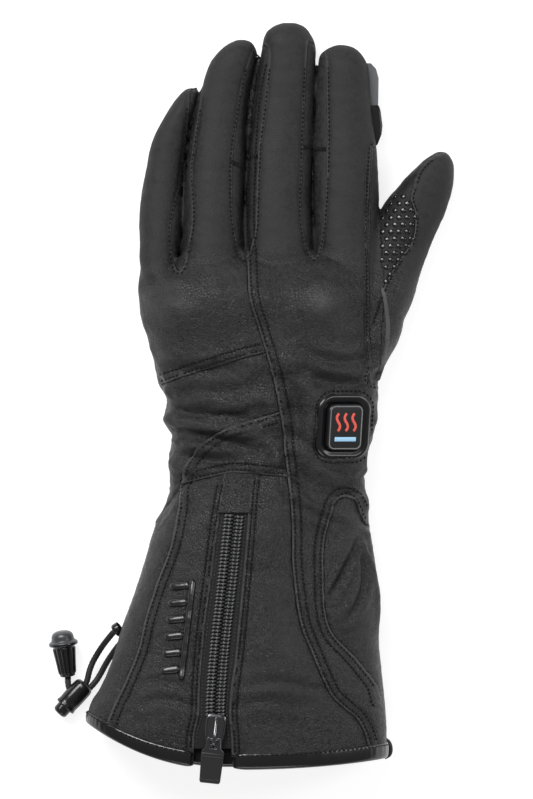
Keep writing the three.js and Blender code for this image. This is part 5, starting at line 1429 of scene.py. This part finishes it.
# The drawcord's other strand.
# The elastic is a loop: its second strand comes out of the cuff's edge lower down, into the same lock.
# A short black end of it also shows at the far corner of the hem.
second_line = smooth_line([
    [-62.5, -108.5, 8.2], [-64.6, -110.6, 7.4], [-67.6, -114.6, 5.2], [-70.4, -119.0, 3.2],
    [-72.8, -123.4, 2.4], [-75.0, -126.9, 2.6], [-78.2, -130.4, 4.0], [-81.2, -132.6, 4.6],
    [-84.0, -133.4, 4.8],
], CORD_STEP)
points, faces = braided(second_line)
second_strand = make("elastic_second_strand", points, faces, braided_material)
stub_line = smooth_line([
    [54.6, -153.0, 15.5], [56.6, -154.5, 15.0], [57.4, -157.0, 14.6], [56.9, -159.4, 14.4],
    [54.8, -160.6, 14.4],
], CORD_STEP)
points, faces = tube(stub_line, 1.5, 24)
make("cord_hem_end", points, faces, braided_material)

# Drawcord fittings.
# A moulded eyelet in the cuff's side, a spring lock whose plunger grips the cord, and a ribbed bell with a
# grey domed cap at its end.
moulded_material = plain_material("moulded_plastic", (0.007, 0.007, 0.008), 0.2, 0.5)
cap_grey_material = plain_material("bell_cap", (0.045, 0.046, 0.049), 0.3, 0.5)


def turned(name, profile, foot, axis, material, step=0.3, sides=48, ribs=None, body="glove"):
    """A turned piece from points [r, t] of its profile: p(t, a) = foot + axis t + r(t, a) (u cos a + v sin a).
    Ribs are given as their number, the places t where they begin and end, and their height."""
    profile = smooth_line(profile, step)
    axis = np.asarray(axis, float) / np.linalg.norm(axis)
    u = np.cross(axis, [0.0, 0.0, 1.0])
    u /= np.linalg.norm(u)
    v = np.cross(u, axis)
    angle = np.linspace(0, 2 * np.pi, sides, endpoint=False)
    r = profile[:, :1] + np.zeros((1, sides))
    if ribs:
        count, begin, end, high = ribs
        band = ease((profile[:, 1] - begin) / 0.8) * ease((end - profile[:, 1]) / 0.8)
        r = r + high * np.maximum(np.cos(count * angle), -0.3)[None] * band[:, None]
    round_axis = u * np.cos(angle)[None, :, None] + v * np.sin(angle)[None, :, None]
    skin = np.asarray(foot) + axis * profile[:, 1, None, None] + r[..., None] * round_axis
    return make_grid(name, skin, material, body, flip=True)


LOCK_AT = np.array([-84.257, -133.33, 4.9])
LOCK_AXIS = np.array([-0.6816, -0.73172, 0.0])
BARREL = [[0.01, -7.2], [2.6, -7.1], [4.0, -6.4], [4.6, -5.0], [4.75, -2.0], [4.75, 2.0], [4.6, 5.0],
          [4.85, 6.0], [4.8, 6.9], [4.1, 7.1], [3.72, 6.9], [3.65, 3.0]]
PLUNGER = [[0.01, 5.3], [3.3, 5.4], [3.4, 6.2], [3.4, 9.2], [3.2, 10.3], [2.4, 11.0], [1.2, 11.2],
           [0.01, 11.25]]
BELL_AT = np.array([-87.636, -124.62, 3.6])
BELL_AXIS = np.array([-0.1318, 0.9789, 0.15618])
BELL = [[1.5, 1.6], [1.6, 0.4], [2.4, 0.0], [3.2, 0.15], [3.5, 0.8], [4.0, 6.0], [4.7, 12.0], [4.95, 13.9],
        [6.3, 14.4], [6.6, 14.9], [6.5, 15.6]]
BELL_CAP = [[6.45, 15.2], [6.3, 15.9], [5.4, 16.6], [5.1, 17.6], [4.9, 18.8], [4.1, 20.0], [2.4, 20.8],
            [0.01, 21.0]]
EYELET = [[1.7, -2.4], [1.7, 0.2], [2.0, 0.7], [2.6, 0.7], [3.0, 0.2], [3.1, -0.8], [2.9, -2.4]]
barrel = turned("lock_barrel", BARREL, LOCK_AT, LOCK_AXIS, moulded_material)
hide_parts("cord_lock_barrel")
plunger = turned("lock_plunger_turned", PLUNGER, LOCK_AT, LOCK_AXIS, moulded_material, body="lock_plunger")
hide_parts("cord_lock_plunger")
bell = turned("bell_ribbed", BELL, BELL_AT, BELL_AXIS, moulded_material, sides=96, ribs=(14, 1.0, 13.6, 0.42))
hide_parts("cord_end_bell")
bell_cap = turned("bell_cap_domed", BELL_CAP, BELL_AT, BELL_AXIS, cap_grey_material, sides=64)
exit_way = cord_line[6] - cord_line[0]
eyelet = turned("eyelet_moulded", EYELET, cord_line[0], exit_way, moulded_material, 0.2, 40)
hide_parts("cord_eyelet")

# Sizes.
low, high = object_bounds()
